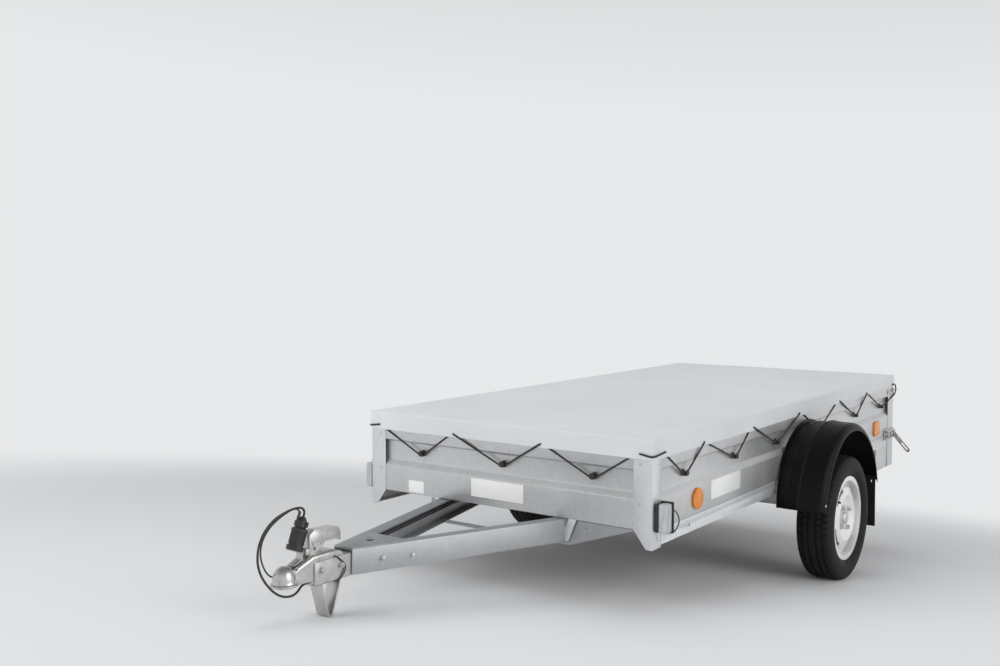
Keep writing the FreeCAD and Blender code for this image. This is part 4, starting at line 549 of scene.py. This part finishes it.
def repeated(model, name, spots):
    """Copies of one small piece drawn about Z, one at each place and facing its way, as one mesh."""
    copies = []
    for place, facing in spots:
        copy = model.copy()
        copy.data = model.data.copy()
        turn = Vector(facing).to_track_quat("Z", "Y").to_matrix().to_4x4()
        copy.data.transform(Matrix.Translation(place) @ turn)
        scene.collection.objects.link(copy)
        copies.append(copy)
    bpy.data.objects.remove(model)
    return joined(copies, name)


def on_wheel(side, out, circle, turn):
    """A place on a wheel's outer face, at a turn from its top."""
    return Vector((side * (wheel_plane + out), -math.sin(turn) * circle,
                   wheel_radius + math.cos(turn) * circle))


for name, side in sides:
    head = primitive("cylinder", vertices=6, radius=0.0098, depth=0.012, location=(0, 0, 0.0085))
    edges_rounded(head, 0.0012)
    bolt_seat = primitive("cone", vertices=28, radius1=0.0125, radius2=0.0102, depth=0.005,
                          location=(0, 0, 0.0015))
    edges_rounded(bolt_seat, 0.0006)
    bolt = joined([head, bolt_seat], "bolt")
    smooth(bolt, 30)
    spots = [(on_wheel(side, bolt_face, bolt_circle, bolt_turn + k * math.pi / 2), (side, 0, 0))
             for k in range(4)]
    seated(repeated(bolt, f"wheel_bolts_{name}", spots), bright_zinc, f"wheel_{name}")
    stem = primitive("cylinder", vertices=16, radius=stem_radius, depth=stem_length)
    with editing(stem, "DESELECT"):
        pass
    for face in stem.data.polygons:
        face.select = face.normal.z > 0.9
    with editing(stem, None):
        bpy.ops.mesh.extrude_region_move(TRANSFORM_OT_translate={"value": (0, 0, cap_step)})
        bpy.ops.transform.resize(value=(cap_growth, cap_growth, 1),
                                 center_override=(0, 0, stem_length / 2 + cap_step))
        bpy.ops.mesh.extrude_region_move(TRANSFORM_OT_translate={"value": (0, 0, cap_length)})
    edges_rounded(stem, 0.0006)
    smooth(stem)
    lean = (side, math.sin(valve_turn) * valve_lean, -math.cos(valve_turn) * valve_lean)
    valve = repeated(stem, f"tyre_valve_{name}",
                     [(on_wheel(side, valve_face, valve_circle, valve_turn), lean)])
    seated(valve, black_plastic, f"wheel_{name}")

# Mudguards and flaps: grained black mouldings with two ribs and a rolled lip, bolted on over the
# tyres, and sheets of black rubber that hang behind them
guard_plastic = finish("guard_plastic", (0.003, 0.003, 0.0033), (0.006, 0.006, 0.0065), 0.2, (0.38, 0.46),
                       grain=0.0025, relief=0.00012, Specular_IOR_Level=0.12)
flap_rubber = finish("flap_rubber", (0.006, 0.006, 0.006), (0.012, 0.012, 0.012), 0.05, (0.6, 0.75),
                     grain=0.004, Specular_IOR_Level=0.2)
lip_growth, lip_inner, lip_run = 0.015, 0.74, 0.09
lip_start, lip_rise = -60, 40
foot_tuck, tuck_outer, tuck_run = 0.017, 0.70, 0.06
tuck_top, tuck_drop = 0.60, 0.25
flap_overlap, flap_tuck, flap_widened = 0.025, 0.0068, 0.024
flap_top, flap_outer = 0.37, 0.8


def rising(place, start, run):
    """0 up to the start, then rising to 1 over the run."""
    return min(1, max(0, (place - start) / run))


def guard_shaped(piece):
    """Swells the guard's outer lip over the tyre and tucks the inner corner of its front foot."""
    for vertex in piece.data.vertices:
        spot = vertex.co
        turn = math.degrees(math.atan2(spot.y, spot.z - wheel_radius))
        outer = rising(abs(spot.x), lip_inner, lip_run) * rising(turn, lip_start, lip_rise)
        grown = 1 + lip_growth * outer / math.hypot(spot.y, spot.z - wheel_radius)
        inner = rising(-abs(spot.x), -tuck_outer, tuck_run)
        low = rising(-spot.z, -tuck_top, tuck_drop) if spot.y < 0 else 0
        spot.x += math.copysign(foot_tuck * low * inner, spot.x)
        spot.y *= grown
        spot.z = wheel_radius + (spot.z - wheel_radius) * grown


def flaps_shaped(piece):
    """Widens the flaps outwards and raises their tops into the guards."""
    for vertex in piece.data.vertices:
        spot = vertex.co
        if spot.z > flap_top:
            spot.y -= flap_tuck
            spot.z += flap_overlap
        if abs(spot.x) > flap_outer:
            spot.x += math.copysign(flap_widened, spot.x)


for node, used, slot, shaped in (("mudguard_left", guard_plastic, "guard_plastic", guard_shaped),
                                 ("mudguard_right", guard_plastic, "guard_plastic", guard_shaped),
                                 ("mudflaps", flap_rubber, "flap_rubber", flaps_shaped)):
    refinished(node, used, 0.0010, segments=2, degrees=40, shaped=shaped)

# Floor board: brown plywood with a film on its faces, sawn to size and laid on the walls' lower
# flanges
plywood_film = finish("plywood_film", (0.09, 0.045, 0.022), (0.15, 0.08, 0.04), 0.12, (0.35, 0.55),
                      grain=0.003, relief=0.0001, stretch=(1, 0.15, 1))
board = copied("floor_board")
edges_rounded(board, 0.0008)
seated(board, plywood_film, nodes=["floor_board"])

# Walls: front and sides, each one sheet of galvanised steel folded along its length into a flat foot
# band, a sloping ledge, a recess and a top band, with flanges turned inwards at both edges


def folded(name, section, start, end, steel, bend):
    """A sheet folded along straight lines, from its section's outer side and the line it runs along.

    section gives distances (inwards, up) from the foot of the sheet's outer face.
    """
    run = end - start
    inwards = run.cross(Vector((0, 0, 1))).normalized()
    places = [start + inwards * u + Vector((0, 0, v)) for u, v in section]
    piece = primitive("plane", size=1)
    piece.name = name
    corners = (places[0], places[0] + run, places[1], places[1] + run)
    for vertex, corner in zip(piece.data.vertices, corners):
        vertex.co = corner

    def fold_of(number):
        """The number of the fold that one of the sheet's vertices is on."""
        spot = piece.data.vertices[number].co
        return min(range(len(places)), key=lambda k: min((spot - places[k]).length,
                                                         (spot - places[k] - run).length))

    def folds_selected(folds):
        with editing(piece, "DESELECT"):
            bpy.ops.mesh.select_mode(type="EDGE")
        for edge in piece.data.edges:
            first, second = map(fold_of, edge.vertices)
            edge.select = first == second and first in folds

    inner_folds = range(1, len(places) - 1)
    for k in inner_folds:
        folds_selected([k])
        with editing(piece, None):
            bpy.ops.mesh.extrude_region_move(TRANSFORM_OT_translate={"value": places[k + 1] - places[k]})
    folds_selected(inner_folds)
    with editing(piece, None):
        bpy.ops.mesh.bevel(offset=bend, segments=3, affect="EDGES")
        bpy.ops.mesh.select_all(action="SELECT")
        bpy.ops.mesh.normals_make_consistent(inside=False)
    if max(piece.data.polygons, key=lambda face: face.area).normal.dot(inwards) > 0:
        piece.data.flip_normals()
    apply(piece, "SOLIDIFY", thickness=steel, offset=-1)
    edges_rounded(piece, 0.0003, segments=1, degrees=60)
    smooth(piece, 40)
    return piece


front_face, rear_face, skin = -1.439, 1.297, 0.636
deck_top, wall_height = 0.465, 0.313
post_steel, wall_gap, wall_steel, wall_bend = 0.002, 0.001, 0.0015, 0.0035
wall_flange, recess = 0.025, 0.015
ledge_foot, ledge_top, recess_top, band_foot = 0.104, 0.126, 0.201, 0.206


def wall_section(height):
    """A wall's outline, as distances (inwards, up) from the foot of its outer face."""
    return [(wall_flange, 0), (0, 0), (0, ledge_foot), (recess, ledge_top), (recess, recess_top),
            (0, band_foot), (0, height), (wall_flange, height)]


wall_front = front_face + post_steel
front_wall = folded("front_wall", wall_section(wall_height), Vector((skin, wall_front, deck_top)),
                    Vector((-skin, wall_front, deck_top)), wall_steel, wall_bend)
seated(front_wall, galvanised, nodes=["front_panel"])
side_front, side_rear = wall_front + wall_flange + wall_gap, rear_face - post_steel - wall_gap
for name, side in sides:
    ends = [Vector((side * skin, y, deck_top)) for y in (side_front, side_rear)]
    if side > 0:
        ends.reverse()
    wall = folded(f"side_wall_{name}", wall_section(wall_height), *ends, wall_steel, wall_bend)
    seated(wall, galvanised, nodes=[f"side_panel_{name}"])

# Tailgate: the rear wall, one sheet of galvanised steel folded like the others between two boxed
# ends, hung on pins under the cover
rear_post_width, gate_gap, gate_lift = 0.035, 0.005, 0.006
gate_half, gate_bottom, gate_height = rail_x - rear_post_width - gate_gap, deck_top + gate_lift, 0.294
gate_end_width, gate_end_overlap = 0.02, 0.001
sheet_half = gate_half - gate_end_width + gate_end_overlap
gate = folded("gate_wall", wall_section(gate_height), Vector((-sheet_half, rear_face, gate_bottom)),
              Vector((sheet_half, rear_face, gate_bottom)), wall_steel, wall_bend)
gate_ends = []
for side in (-1, 1):
    end = primitive("cube", size=1, scale=(gate_end_width, wall_flange, gate_height),
                    location=(side * (gate_half - gate_end_width / 2), rear_face - wall_flange / 2,
                              gate_bottom + gate_height / 2))
    edges_rounded(end, 0.0025, segments=3)
    smooth(end)
    gate_ends.append(end)
gate = joined([gate] + gate_ends, "gate_wall")
seated(gate, galvanised, "tailgate", ["tailgate"])

# Lacing knobs: turned black plastic buttons with a broad foot and head, screwed to the walls. Those on
# the tailgate ride with it.
side_knobs_back, front_knobs_across = 0.042, 0.011


def knobs_moved(piece):
    """Moves the knobs of the sides back and those of the front across, to where the cord needs them."""
    for vertex in piece.data.vertices:
        if abs(vertex.co.x) > 0.6:
            vertex.co.y += side_knobs_back
        elif vertex.co.y < 0:
            vertex.co.x += front_knobs_across


for node, body in (("lacing_knobs", "root"), ("tailgate_knobs", "tailgate")):
    refinished(node, black_plastic, 0.0015, body=body, shaped=knobs_moved)

# Cover: one sheet of pale grey coated cloth, welded at its corners into a flat lid with a skirt and a
# doubled hem. The elastic cord pulls it down at its eyelets and bulges the skirt where it passes
# behind it.
cover_half, cover_edge, cloth_thickness, cover_ease = 0.6405, 0.006, 0.001, 0.0025
cover_front, cover_rear = front_face - cover_ease, rear_face + cover_ease
cover_top, skirt_bottom = 0.7805, 0.7205
cover_middle = Vector((0, (cover_front + cover_rear) / 2, cover_top))
cover_length = cover_rear - cover_front
flat_half, flat_half_length = cover_half - cover_edge, cover_length / 2 - cover_edge
cloth = primitive("grid", x_subdivisions=88, y_subdivisions=186, size=1, location=cover_middle)
cloth.name = "cover_cloth"
skirt_rows = 8
skirt_run = cover_top - cover_edge - skirt_bottom
steps = [(cover_edge * math.sin(turn), cover_edge * (1 - math.cos(turn)))
         for turn in map(math.radians, (0, 30, 60, 90))]
steps += [(cover_edge, cover_edge + skirt_run * row / skirt_rows) for row in range(1, skirt_rows + 1)]
with editing(cloth):
    bpy.ops.transform.resize(value=(2 * flat_half, 2 * flat_half_length, 1), center_override=cover_middle)
    bpy.ops.mesh.region_to_loop()
    for (out, down), (next_out, next_down) in zip(steps, steps[1:]):
        bpy.ops.mesh.extrude_region_move(TRANSFORM_OT_translate={"value": (0, 0, down - next_down)})
        bpy.ops.transform.resize(value=((flat_half + next_out) / (flat_half + out),
                                        (flat_half_length + next_out) / (flat_half_length + out), 1),
                                 center_override=(0, cover_middle.y, cover_top - next_down))

# Where the cord goes through the skirt and where it passes behind its lower edge, as distances back
# from the front face, and across at the ends
side_eyelets = (0.084, 0.388, 0.833, 1.338, 1.856, 2.268, 2.690)
side_tucks = (0.097, 0.417, 0.807, 1.382, 1.824, 2.289)
end_eyelets = (-0.596, -0.217, 0.187, 0.584)
end_tucks = (-0.566, -0.238, 0.212, 0.556)
eyelet_height = 0.729
skirt_fall, fall_run = 0.010, 1.9
sag, sag_reach, edge_reach = 0.0022, 0.3, 0.12
bulge, bulge_reach, pull, pull_reach = 0.0038, 0.05, 0.0006, 0.03
ripple, hem, hem_low, corner_reach = 0.0012, 0.0005, 0.62, 0.07


def hang(y):
    """How much deeper the skirt hangs than at the rear end, where the tailgate swings under it."""
    return skirt_fall * max(0, min(1, (cover_rear - y) / fall_run))


def near(place, others, reach):
    """1 at the nearest of the given places, falling to 0 at the given reach."""
    gap = min(abs(place - other) for other in others)
    return max(0, 1 - gap / reach) ** 2 * (1 + 2 * min(gap / reach, 1))


for vertex in cloth.data.vertices:
    spot = vertex.co
    from_side = cover_half - abs(spot.x)
    from_end = min(spot.y - cover_front, cover_rear - spot.y)
    if spot.z > cover_top - 0.0001:
        sunk = sag * math.sin(math.pi * min(1, from_side / sag_reach) / 2)
        wrinkle = (0.0012 * noise.noise(Vector((spot.x * 2.2, spot.y * 1.3, 0.4)))
                   + 0.0005 * noise.noise(Vector((spot.x * 9, spot.y * 5, 3.1))))
        spot.z += (wrinkle - sunk) * min(1, min(from_side, from_end) / edge_reach)
        continue
    low = max(0, min(1, (cover_top - cover_edge - spot.z) / skirt_run))
    on_side = from_side < from_end
    along = spot.y - front_face if on_side else spot.x
    eyelets, tucks = (side_eyelets, side_tucks) if on_side else (end_eyelets, end_tucks)
    out = bulge * near(along, tucks, bulge_reach) * low ** 1.5 - pull * near(along, eyelets, pull_reach) * low
    out += ripple * low * noise.noise(Vector((along * 7, spot.z * 8, 5.5 + on_side)))
    out += hem if low > hem_low else 0
    if on_side and min(along, cover_length - along) < corner_reach:
        out += hem
    if abs(from_side - from_end) > 0.004:
        if on_side:
            spot.x += math.copysign(out, spot.x)
        else:
            spot.y += math.copysign(out, spot.y - cover_middle.y)
    spot.z += ripple * low * noise.noise(Vector((along * 5, 1.7, 2.2))) - low * hang(spot.y)
with editing(cloth):
    bpy.ops.mesh.normals_make_consistent(inside=False)
apply(cloth, "SOLIDIFY", thickness=cloth_thickness, offset=-1)
smooth(cloth, 60)
tarpaulin = finish("tarpaulin", (0.60, 0.61, 0.62), (0.66, 0.67, 0.68), 0.5, (0.5, 0.6), grain=0.05,
                   relief=0.0015, Sheen_Weight=0.15, Sheen_Roughness=0.5, Specular_IOR_Level=0.4)
thread = 0.0016
weave_at = put(tarpaulin, "TexCoord").outputs["Object"]
weave = [put(tarpaulin, "TexWave", {"wave_type": "BANDS", "bands_direction": direction}, Vector=weave_at,
             Scale=0.31 / thread).outputs["Fac"] for direction in ("X", "Y")]
crossed = put(tarpaulin, "Math", {"operation": "MULTIPLY"}, *weave)
cloth_normal = tarpaulin.node_tree.nodes["Principled BSDF"].inputs["Normal"]
woven = put(tarpaulin, "Bump", Height=crossed.outputs["Value"], Distance=0.0002, Strength=0.4,
            Normal=cloth_normal.links[0].from_socket)
tarpaulin.node_tree.links.new(woven.outputs["Normal"], cloth_normal)
seated(cloth, tarpaulin, nodes=["cover"])

# Eyelets: rings pressed from thin zinc-plated sheet, which line the cover's holes where the cord goes
# through
eyelet_radius, eyelet_wire, eyelet_flatness = 0.0065, 0.0016, 0.6
eyelet_sunk = 0.0002
ring = primitive("torus", major_radius=eyelet_radius, minor_radius=eyelet_wire, major_segments=24,
                 minor_segments=8)
with editing(ring):
    bpy.ops.transform.resize(value=(1, 1, eyelet_flatness), center_override=(0, 0, 0))
smooth(ring, 60)
eyelet_spots = [((x, cover_front + eyelet_sunk, eyelet_height - skirt_fall / 2), (0, -1, 0))
                for x in end_eyelets]
for side in (-1, 1):
    eyelet_spots += [((side * (cover_half - eyelet_sunk), y, eyelet_height - hang(y) / 2), (side, 0, 0))
                     for y in [front_face + along for along in side_eyelets]]
eyelet_spots += [((x, cover_rear - eyelet_sunk, eyelet_height), (0, 1, 0)) for x in (-0.2, 0.2)]
seated(repeated(ring, "cover_eyelets", eyelet_spots), bright_zinc)

# Lacing cord: black elastic cord, 7 mm thick with a braided sheath, laced through the eyelets, round
# the knobs' necks, outside the skirt's front corners and round the hooks at the rear ones
elastic = finish("braided_elastic", (0.010, 0.010, 0.011), (0.03, 0.03, 0.032), 0.01, (0.5, 0.7),
                 grain=0.0015, relief=0.0003)
cord_radius = 0.0034
knob_neck_radius, knob_height, knob_standoff = 0.006, 0.630, 0.0105
eyelet_out, hem_out, hem_up, hem_tuck = 0.0068, 0.0005, 0.004, 0.012
loop_slack, loop_turns = 1.04, 6
end_knobs = (-0.391, 0.0, 0.391)
front_knobs = (-0.380, 0.011, 0.402)
side_knobs = (0.2546, 0.6836, 1.1049, 1.6111, 2.1268, 2.5413)


def strand(places, radius=cord_radius):
    """One stretch of cord as a mesh tube through places on the level trailer."""
    drawn = tube("strand", places, 2 * radius, 5, 3)
    alone(drawn)
    bpy.ops.object.convert(target="MESH")
    return bpy.context.object


def laced(face, knob, left_end, right_end, hooked=()):
    """A V of cord: from one end down to the knob, half round its neck, and up to the other end.

    face turns (along, up, out from the wall) into a place. Each end is its distance along, and
    whether the cord leaves through an eyelet or from behind the skirt. hooked is the way that the
    right end takes round the hook at the rear corner, from its start to the eyelet.
    """
    turn_radius = knob_neck_radius + cord_radius
    depth = knob_standoff - recess
    tracks = []
    for (along, through), way in ((left_end, 1), (right_end, -1)):
        fall = hang(face(along, 0, 0)[1])
        high = eyelet_height - fall / 2 if through else skirt_bottom + hem_up - fall
        out = eyelet_out if through else hem_out
        if hooked and way < 0:
            high, out = hooked[0][1:]
            track = list(hooked[::-1])
        elif through:
            track = [(along, high + 0.001, -0.004), (along, high, out)]
        else:
            track = [(along - way * 0.002, high + hem_tuck, 0.0), (along, high, out)]
        across, up = along - knob, high - knob_height
        touch = math.atan2(up, across) + way * math.acos(turn_radius / math.hypot(across, up))
        near_end = (along + (knob - along) * 0.06, high + (knob_height - high) * 0.06, out * 0.9)
        touching = (knob + turn_radius * math.cos(touch), knob_height + turn_radius * math.sin(touch), depth)
        close = tuple(there + (here - there) * 0.05 for there, here in zip(touching, near_end))
        tracks.append((track + [near_end, close], touch))
    (left, start), (right, stop) = tracks
    if stop < start:
        stop += 2 * math.pi
    turns = [start + (stop - start) * k / loop_turns for k in range(loop_turns + 1)]
    arc = [(knob + turn_radius * loop_slack * math.cos(turn),
            knob_height + turn_radius * loop_slack * math.sin(turn), depth) for turn in turns]
    return strand([face(*place) for place in left + arc + right[::-1]])


def wrapped(side, end_eyelet, side_eyelet):
    """The stretch outside the skirt round a front corner, from the end's eyelet to the side's."""
    out = cord_radius + 0.001
    corner_x, edge_y = side * (cover_half + out), cover_front - out
    high, low, inset = eyelet_height, eyelet_height - 0.006, 0.012
    end_x, back_to = side * end_eyelet, front_face + side_eyelet
    return strand([(end_x, cover_front + 0.006, high), (end_x, edge_y, high),
                   (end_x + side * inset, edge_y, high - 0.001),
                   (side * (cover_half - inset), edge_y, low),
                   (corner_x - side * 0.001, edge_y + 0.001, low),
                   (corner_x, cover_front + inset, low),
                   (corner_x, back_to - inset, high - 0.001), (corner_x, back_to, high),
                   (corner_x - side * 0.01, back_to, high)])


def front_place(along, up, out):
    return along, front_face - out, up


front_ends = (((-0.566, False), (-0.238, False)), ((-0.217, True), (0.187, True)),
              ((0.212, False), (0.556, False)))
strands = [laced(front_place, knob, *ends) for knob, ends in zip(front_knobs, front_ends)]
side_ends = (((0.097, False), (0.388, True)), ((0.417, False), (0.807, False)),
             ((0.833, True), (1.338, True)), ((1.382, False), (1.824, False)),
             ((1.856, True), (2.268, True)), ((2.289, False), (2.712, False)))
corner_hooked = [(2.712, 0.668, 0.0045), (2.739, 0.674, 0.0055), (2.7485, 0.692, 0.0085),
                 (2.7485, 0.714, 0.0095), (2.738, 0.729, 0.0085), (2.716, 0.7335, 0.0065),
                 (2.698, 0.732, 0.0062), (2.690, 0.7295, 0.0050), (2.690, 0.729, -0.006)]
skirt_gap, corner_eyelets = 0.002, (0.590, 0.084)
for side in (-1, 1):
    def side_place(along, up, out):
        return side * (skin + skirt_gap + out), front_face + along, up
    for knob, ends in zip(side_knobs, side_ends):
        hooked = corner_hooked if knob == side_knobs[-1] else ()
        strands.append(laced(side_place, knob, *ends, hooked))
    strands.append(wrapped(side, *corner_eyelets))
lacing = joined(strands, "lacing_cord")
smooth(lacing, 60)
seated(lacing, elastic)


def rear_place(along, up, out):
    return along, rear_face + out, up


rear_ends = (((-0.566, False), (-0.2, True)), ((-0.17, False), (0.17, False)), ((0.2, True), (0.566, False)))
rear_lacing = joined([laced(rear_place, knob, *ends) for knob, ends in zip(end_knobs, rear_ends)],
                     "tailgate_lacing_cord")
smooth(rear_lacing, 60)
rear_lacing.data.transform(level)
rear_lacing.data.materials.clear()
rear_lacing.data.materials.append(elastic)
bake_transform(rear_lacing)

# Lamps and reflectors: amber prism reflectors, white front lamps with streaked lenses on black bases,
# and red rear lamps, all moulded plastic and screwed on
amber_lens = finish("amber_lens", (0.66, 0.19, 0.008), (0.76, 0.26, 0.02), 0.03, (0.14, 0.22),
                    grain=0.003, relief=0.0004)
white_lens = finish("white_lens", (0.36, 0.37, 0.38), (0.52, 0.53, 0.54), 0.008, (0.1, 0.2),
                    grain=0.003, relief=0.0003, stretch=(1, 1, 0.06))
red_lens = finish("red_lens", (0.36, 0.005, 0.005), (0.48, 0.01, 0.01), 0.03, (0.1, 0.18),
                  grain=0.003, relief=0.0003)
marker_drop = 0.008


def marker_lowered(piece):
    piece.data.transform(Matrix.Translation((0, 0, -marker_drop)))


for node, used, slot, rounding, shaped in (
        ("side_reflectors", amber_lens, "amber_lens", 0.0022, None),
        ("marker_lamps", white_lens, "white_lens", 0.007, marker_lowered),
        ("marker_lamp_bases", black_plastic, "black_plastic", 0.004, marker_lowered),
        ("rear_lamps", red_lens, "red_lens", 0.003, None)):
    refinished(node, used, rounding, segments=4, degrees=40, shaped=shaped)

# Labels: two blank pale films and a small plate of pale foil, each stuck flat to the lower band of a
# wall
label_film = finish("label_film", (0.74, 0.74, 0.74), (0.80, 0.80, 0.80), 0.1, (0.28, 0.36),
                    grain=0.004, relief=0.00004)
film_thickness, film_rounding = 0.0004, 0.00015


def block(low, high):
    """A plain block from its low corner to its high corner on the level trailer."""
    low, high = Vector(low), Vector(high)
    return primitive("cube", size=1, location=(low + high) / 2, scale=high - low)


for name, low, high in (
        ("front_label", (-0.133, wall_front - film_thickness, 0.494), (0.107, wall_front, 0.563)),
        ("foil_plate", (-0.445, wall_front - film_thickness, 0.472), (-0.368, wall_front, 0.519)),
        ("side_label", (skin, -0.975, 0.497), (skin + film_thickness, -0.712, 0.568))):
    film = block(low, high)
    film.name = name
    edges_rounded(film, film_rounding, degrees=60)
    smooth(film)
    seated(film, label_film)

# Bolts and rivets: plated hexagon bolts with washers on the drawbar, and flat-headed rivets and bolts
# through the corner posts, rails, walls and mudguards
washer_thick, washer_growth, stud_share = 0.0018, 1.35, 0.55


def cylinder(radius, low, high, vertices):
    """A cylinder about Z between two heights."""
    return primitive("cylinder", vertices=vertices, radius=radius, depth=high - low,
                     location=(0, 0, (low + high) / 2))


def bolt_head(radius, height):
    """A hexagon head on its washer, with its stud's end, standing on Z = 0."""
    head = cylinder(radius, 0.0015, height + 0.0015, 6)
    edges_rounded(head, radius * 0.12)
    washer = cylinder(radius * washer_growth, 0, washer_thick, 28)
    edges_rounded(washer, 0.0004, segments=1)
    stud = cylinder(radius * stud_share, height + 0.0005, height + 0.0045, 20)
    edges_rounded(stud, 0.0006, segments=1)
    made = joined([head, washer, stud], "bolt_head")
    smooth(made, 30)
    return made


def rivet_head(radius):
    """A low domed head standing on Z = 0."""
    made = primitive("uv_sphere", segments=20, ring_count=10, radius=radius, scale=(1, 1, 0.35))
    smooth(made, 60)
    return made


beam_turn, post_y, corner_y = math.radians(17), 1.240, -1.397
beam_spots, head_spots, post_spots, rail_spots, guard_spots = [], [], [], [], []
for side in (-1, 1):
    beam_facing, outwards = (side * math.cos(beam_turn), -math.sin(beam_turn), 0), (side, 0, 0)
    head_x = 0.036 if side > 0 else -0.054
    beam_spots += [((side * x, y, z), beam_facing)
                   for x, y, z in ((0.0720, -2.1573, 0.4440), (0.1042, -2.0520, 0.4358))]
    head_spots += [((head_x, y, 0.4515), outwards) for y in (-2.386, -2.305)]
    post_spots += [((side * 0.590, front_face, z), (0, -1, 0)) for z in (0.692, 0.555)]
    post_spots += [((side * rail_x, post_y, z), outwards) for z in (0.522, 0.560, 0.600)]
    post_spots += [((side * rail_x, corner_y, z), outwards) for z in (0.4255, 0.690)]
    rail_spots += [((side * rail_x, y, rail_hole_z), outwards) for y in (-0.60, 0.62)]
    guard_spots += [((side * 0.8480, y, z), outwards) for y, z in ((-0.3395, 0.3846), (0.2544, 0.3935))]
for name, model, spots in (("beam_bolts", bolt_head(0.0085, 0.006), beam_spots),
                           ("head_bolts", bolt_head(0.0095, 0.007), head_spots),
                           ("post_rivets", rivet_head(0.0042), post_spots),
                           ("rail_rivets", rivet_head(0.0036), rail_spots),
                           ("mudguard_bolts", rivet_head(0.0060), guard_spots)):
    seated(repeated(model, name, spots), bright_zinc)

# Drawbar strap: a flat strap of fresh zinc that comes down over the near beam's flank, under the
# front wall
strap_half, strap_steel = 0.016, 0.003
strap_head, strap_foot = (0.322, 0.467), (0.288, 0.386)
strap = primitive("cube", size=1)
strap.name = "drawbar_strap"
for vertex in strap.data.vertices:
    across, ahead, up = vertex.co
    middle, height = strap_head if up > 0 else strap_foot
    vertex.co = (middle + math.copysign(strap_half, across),
                 front_face + math.copysign(strap_steel / 2, ahead), height)
edges_rounded(strap, 0.0007)
smooth(strap)
seated(strap, fresh_zinc)

# Breakaway loop: a thin steel wire in a black sheath, pulled tight round the back of the drawbar
# head, over its roof and under it
loop_radius = 0.002
loop = strand([(0.000, -2.3280, 0.4840), (0.030, -2.3290, 0.4845), (0.0390, -2.3230, 0.4800),
               (0.0395, -2.2960, 0.4580), (0.0395, -2.2885, 0.4420), (0.0395, -2.2960, 0.4250),
               (0.0390, -2.3140, 0.4100), (0.030, -2.3200, 0.4040), (0.000, -2.3220, 0.4030),
               (-0.045, -2.3200, 0.4040), (-0.0565, -2.3140, 0.4100), (-0.0575, -2.2960, 0.4250),
               (-0.0575, -2.2885, 0.4420), (-0.0575, -2.2960, 0.4580), (-0.0565, -2.3230, 0.4800),
               (-0.045, -2.3290, 0.4845), (0.000, -2.3280, 0.4840)], loop_radius)
loop.name = "breakaway_loop"
smooth(loop, 60)
seated(loop, cable_jacket)

# Marker lamps' rims and leads: a black moulded rim round each lens's back, and the lead that bends
# out of the rim and back through the rail
lead_radius = 0.0022
lead_route = [(0.650, -1.388, 0.533), (0.655, -1.352, 0.533), (0.659, -1.306, 0.520),
              (0.660, -1.276, 0.480), (0.659, -1.300, 0.450), (0.655, -1.340, 0.444),
              (0.650, -1.384, 0.456)]
rim_place, rim_size = (0.6655, -1.3835, 0.5125), (0.051, 0.006, 0.108)
leads, rims = [], []
for side in (-1, 1):
    leads.append(strand([(side * x, y, z) for x, y, z in lead_route], lead_radius))
    rim = primitive("cube", size=1, location=(side * rim_place[0], *rim_place[1:]), scale=rim_size)
    edges_rounded(rim, 0.0028, segments=3)
    rims.append(rim)
lamp_rims = joined(leads + rims, "marker_lamp_rims")
smooth(lamp_rims, 50)
seated(lamp_rims, black_plastic)

# Cord hooks: bent zinc-plated straps on the walls' rear ends, which hold the cord at the corners over
# the tailgate's pins
hook_radius = 0.0022
hook_route = [(0.6395, 1.262, 0.700), (0.6410, 1.280, 0.703), (0.6440, 1.2995, 0.703),
              (0.6500, 1.3035, 0.703), (0.6560, 1.3000, 0.703), (0.6570, 1.290, 0.703)]
hook_strap_place, hook_strap_size = (0.6392, 1.247, 0.694), (0.0024, 0.094, 0.018)
hooks = []
for side in (-1, 1):
    strap = primitive("cube", size=1, location=(side * hook_strap_place[0], *hook_strap_place[1:]),
                      scale=hook_strap_size)
    edges_rounded(strap, 0.0009)
    hooks += [strap, strand([(side * x, y, z) for x, y, z in hook_route], hook_radius)]
cord_hooks = joined(hooks, "cord_hooks")
smooth(cord_hooks, 50)
seated(cord_hooks, bright_zinc)
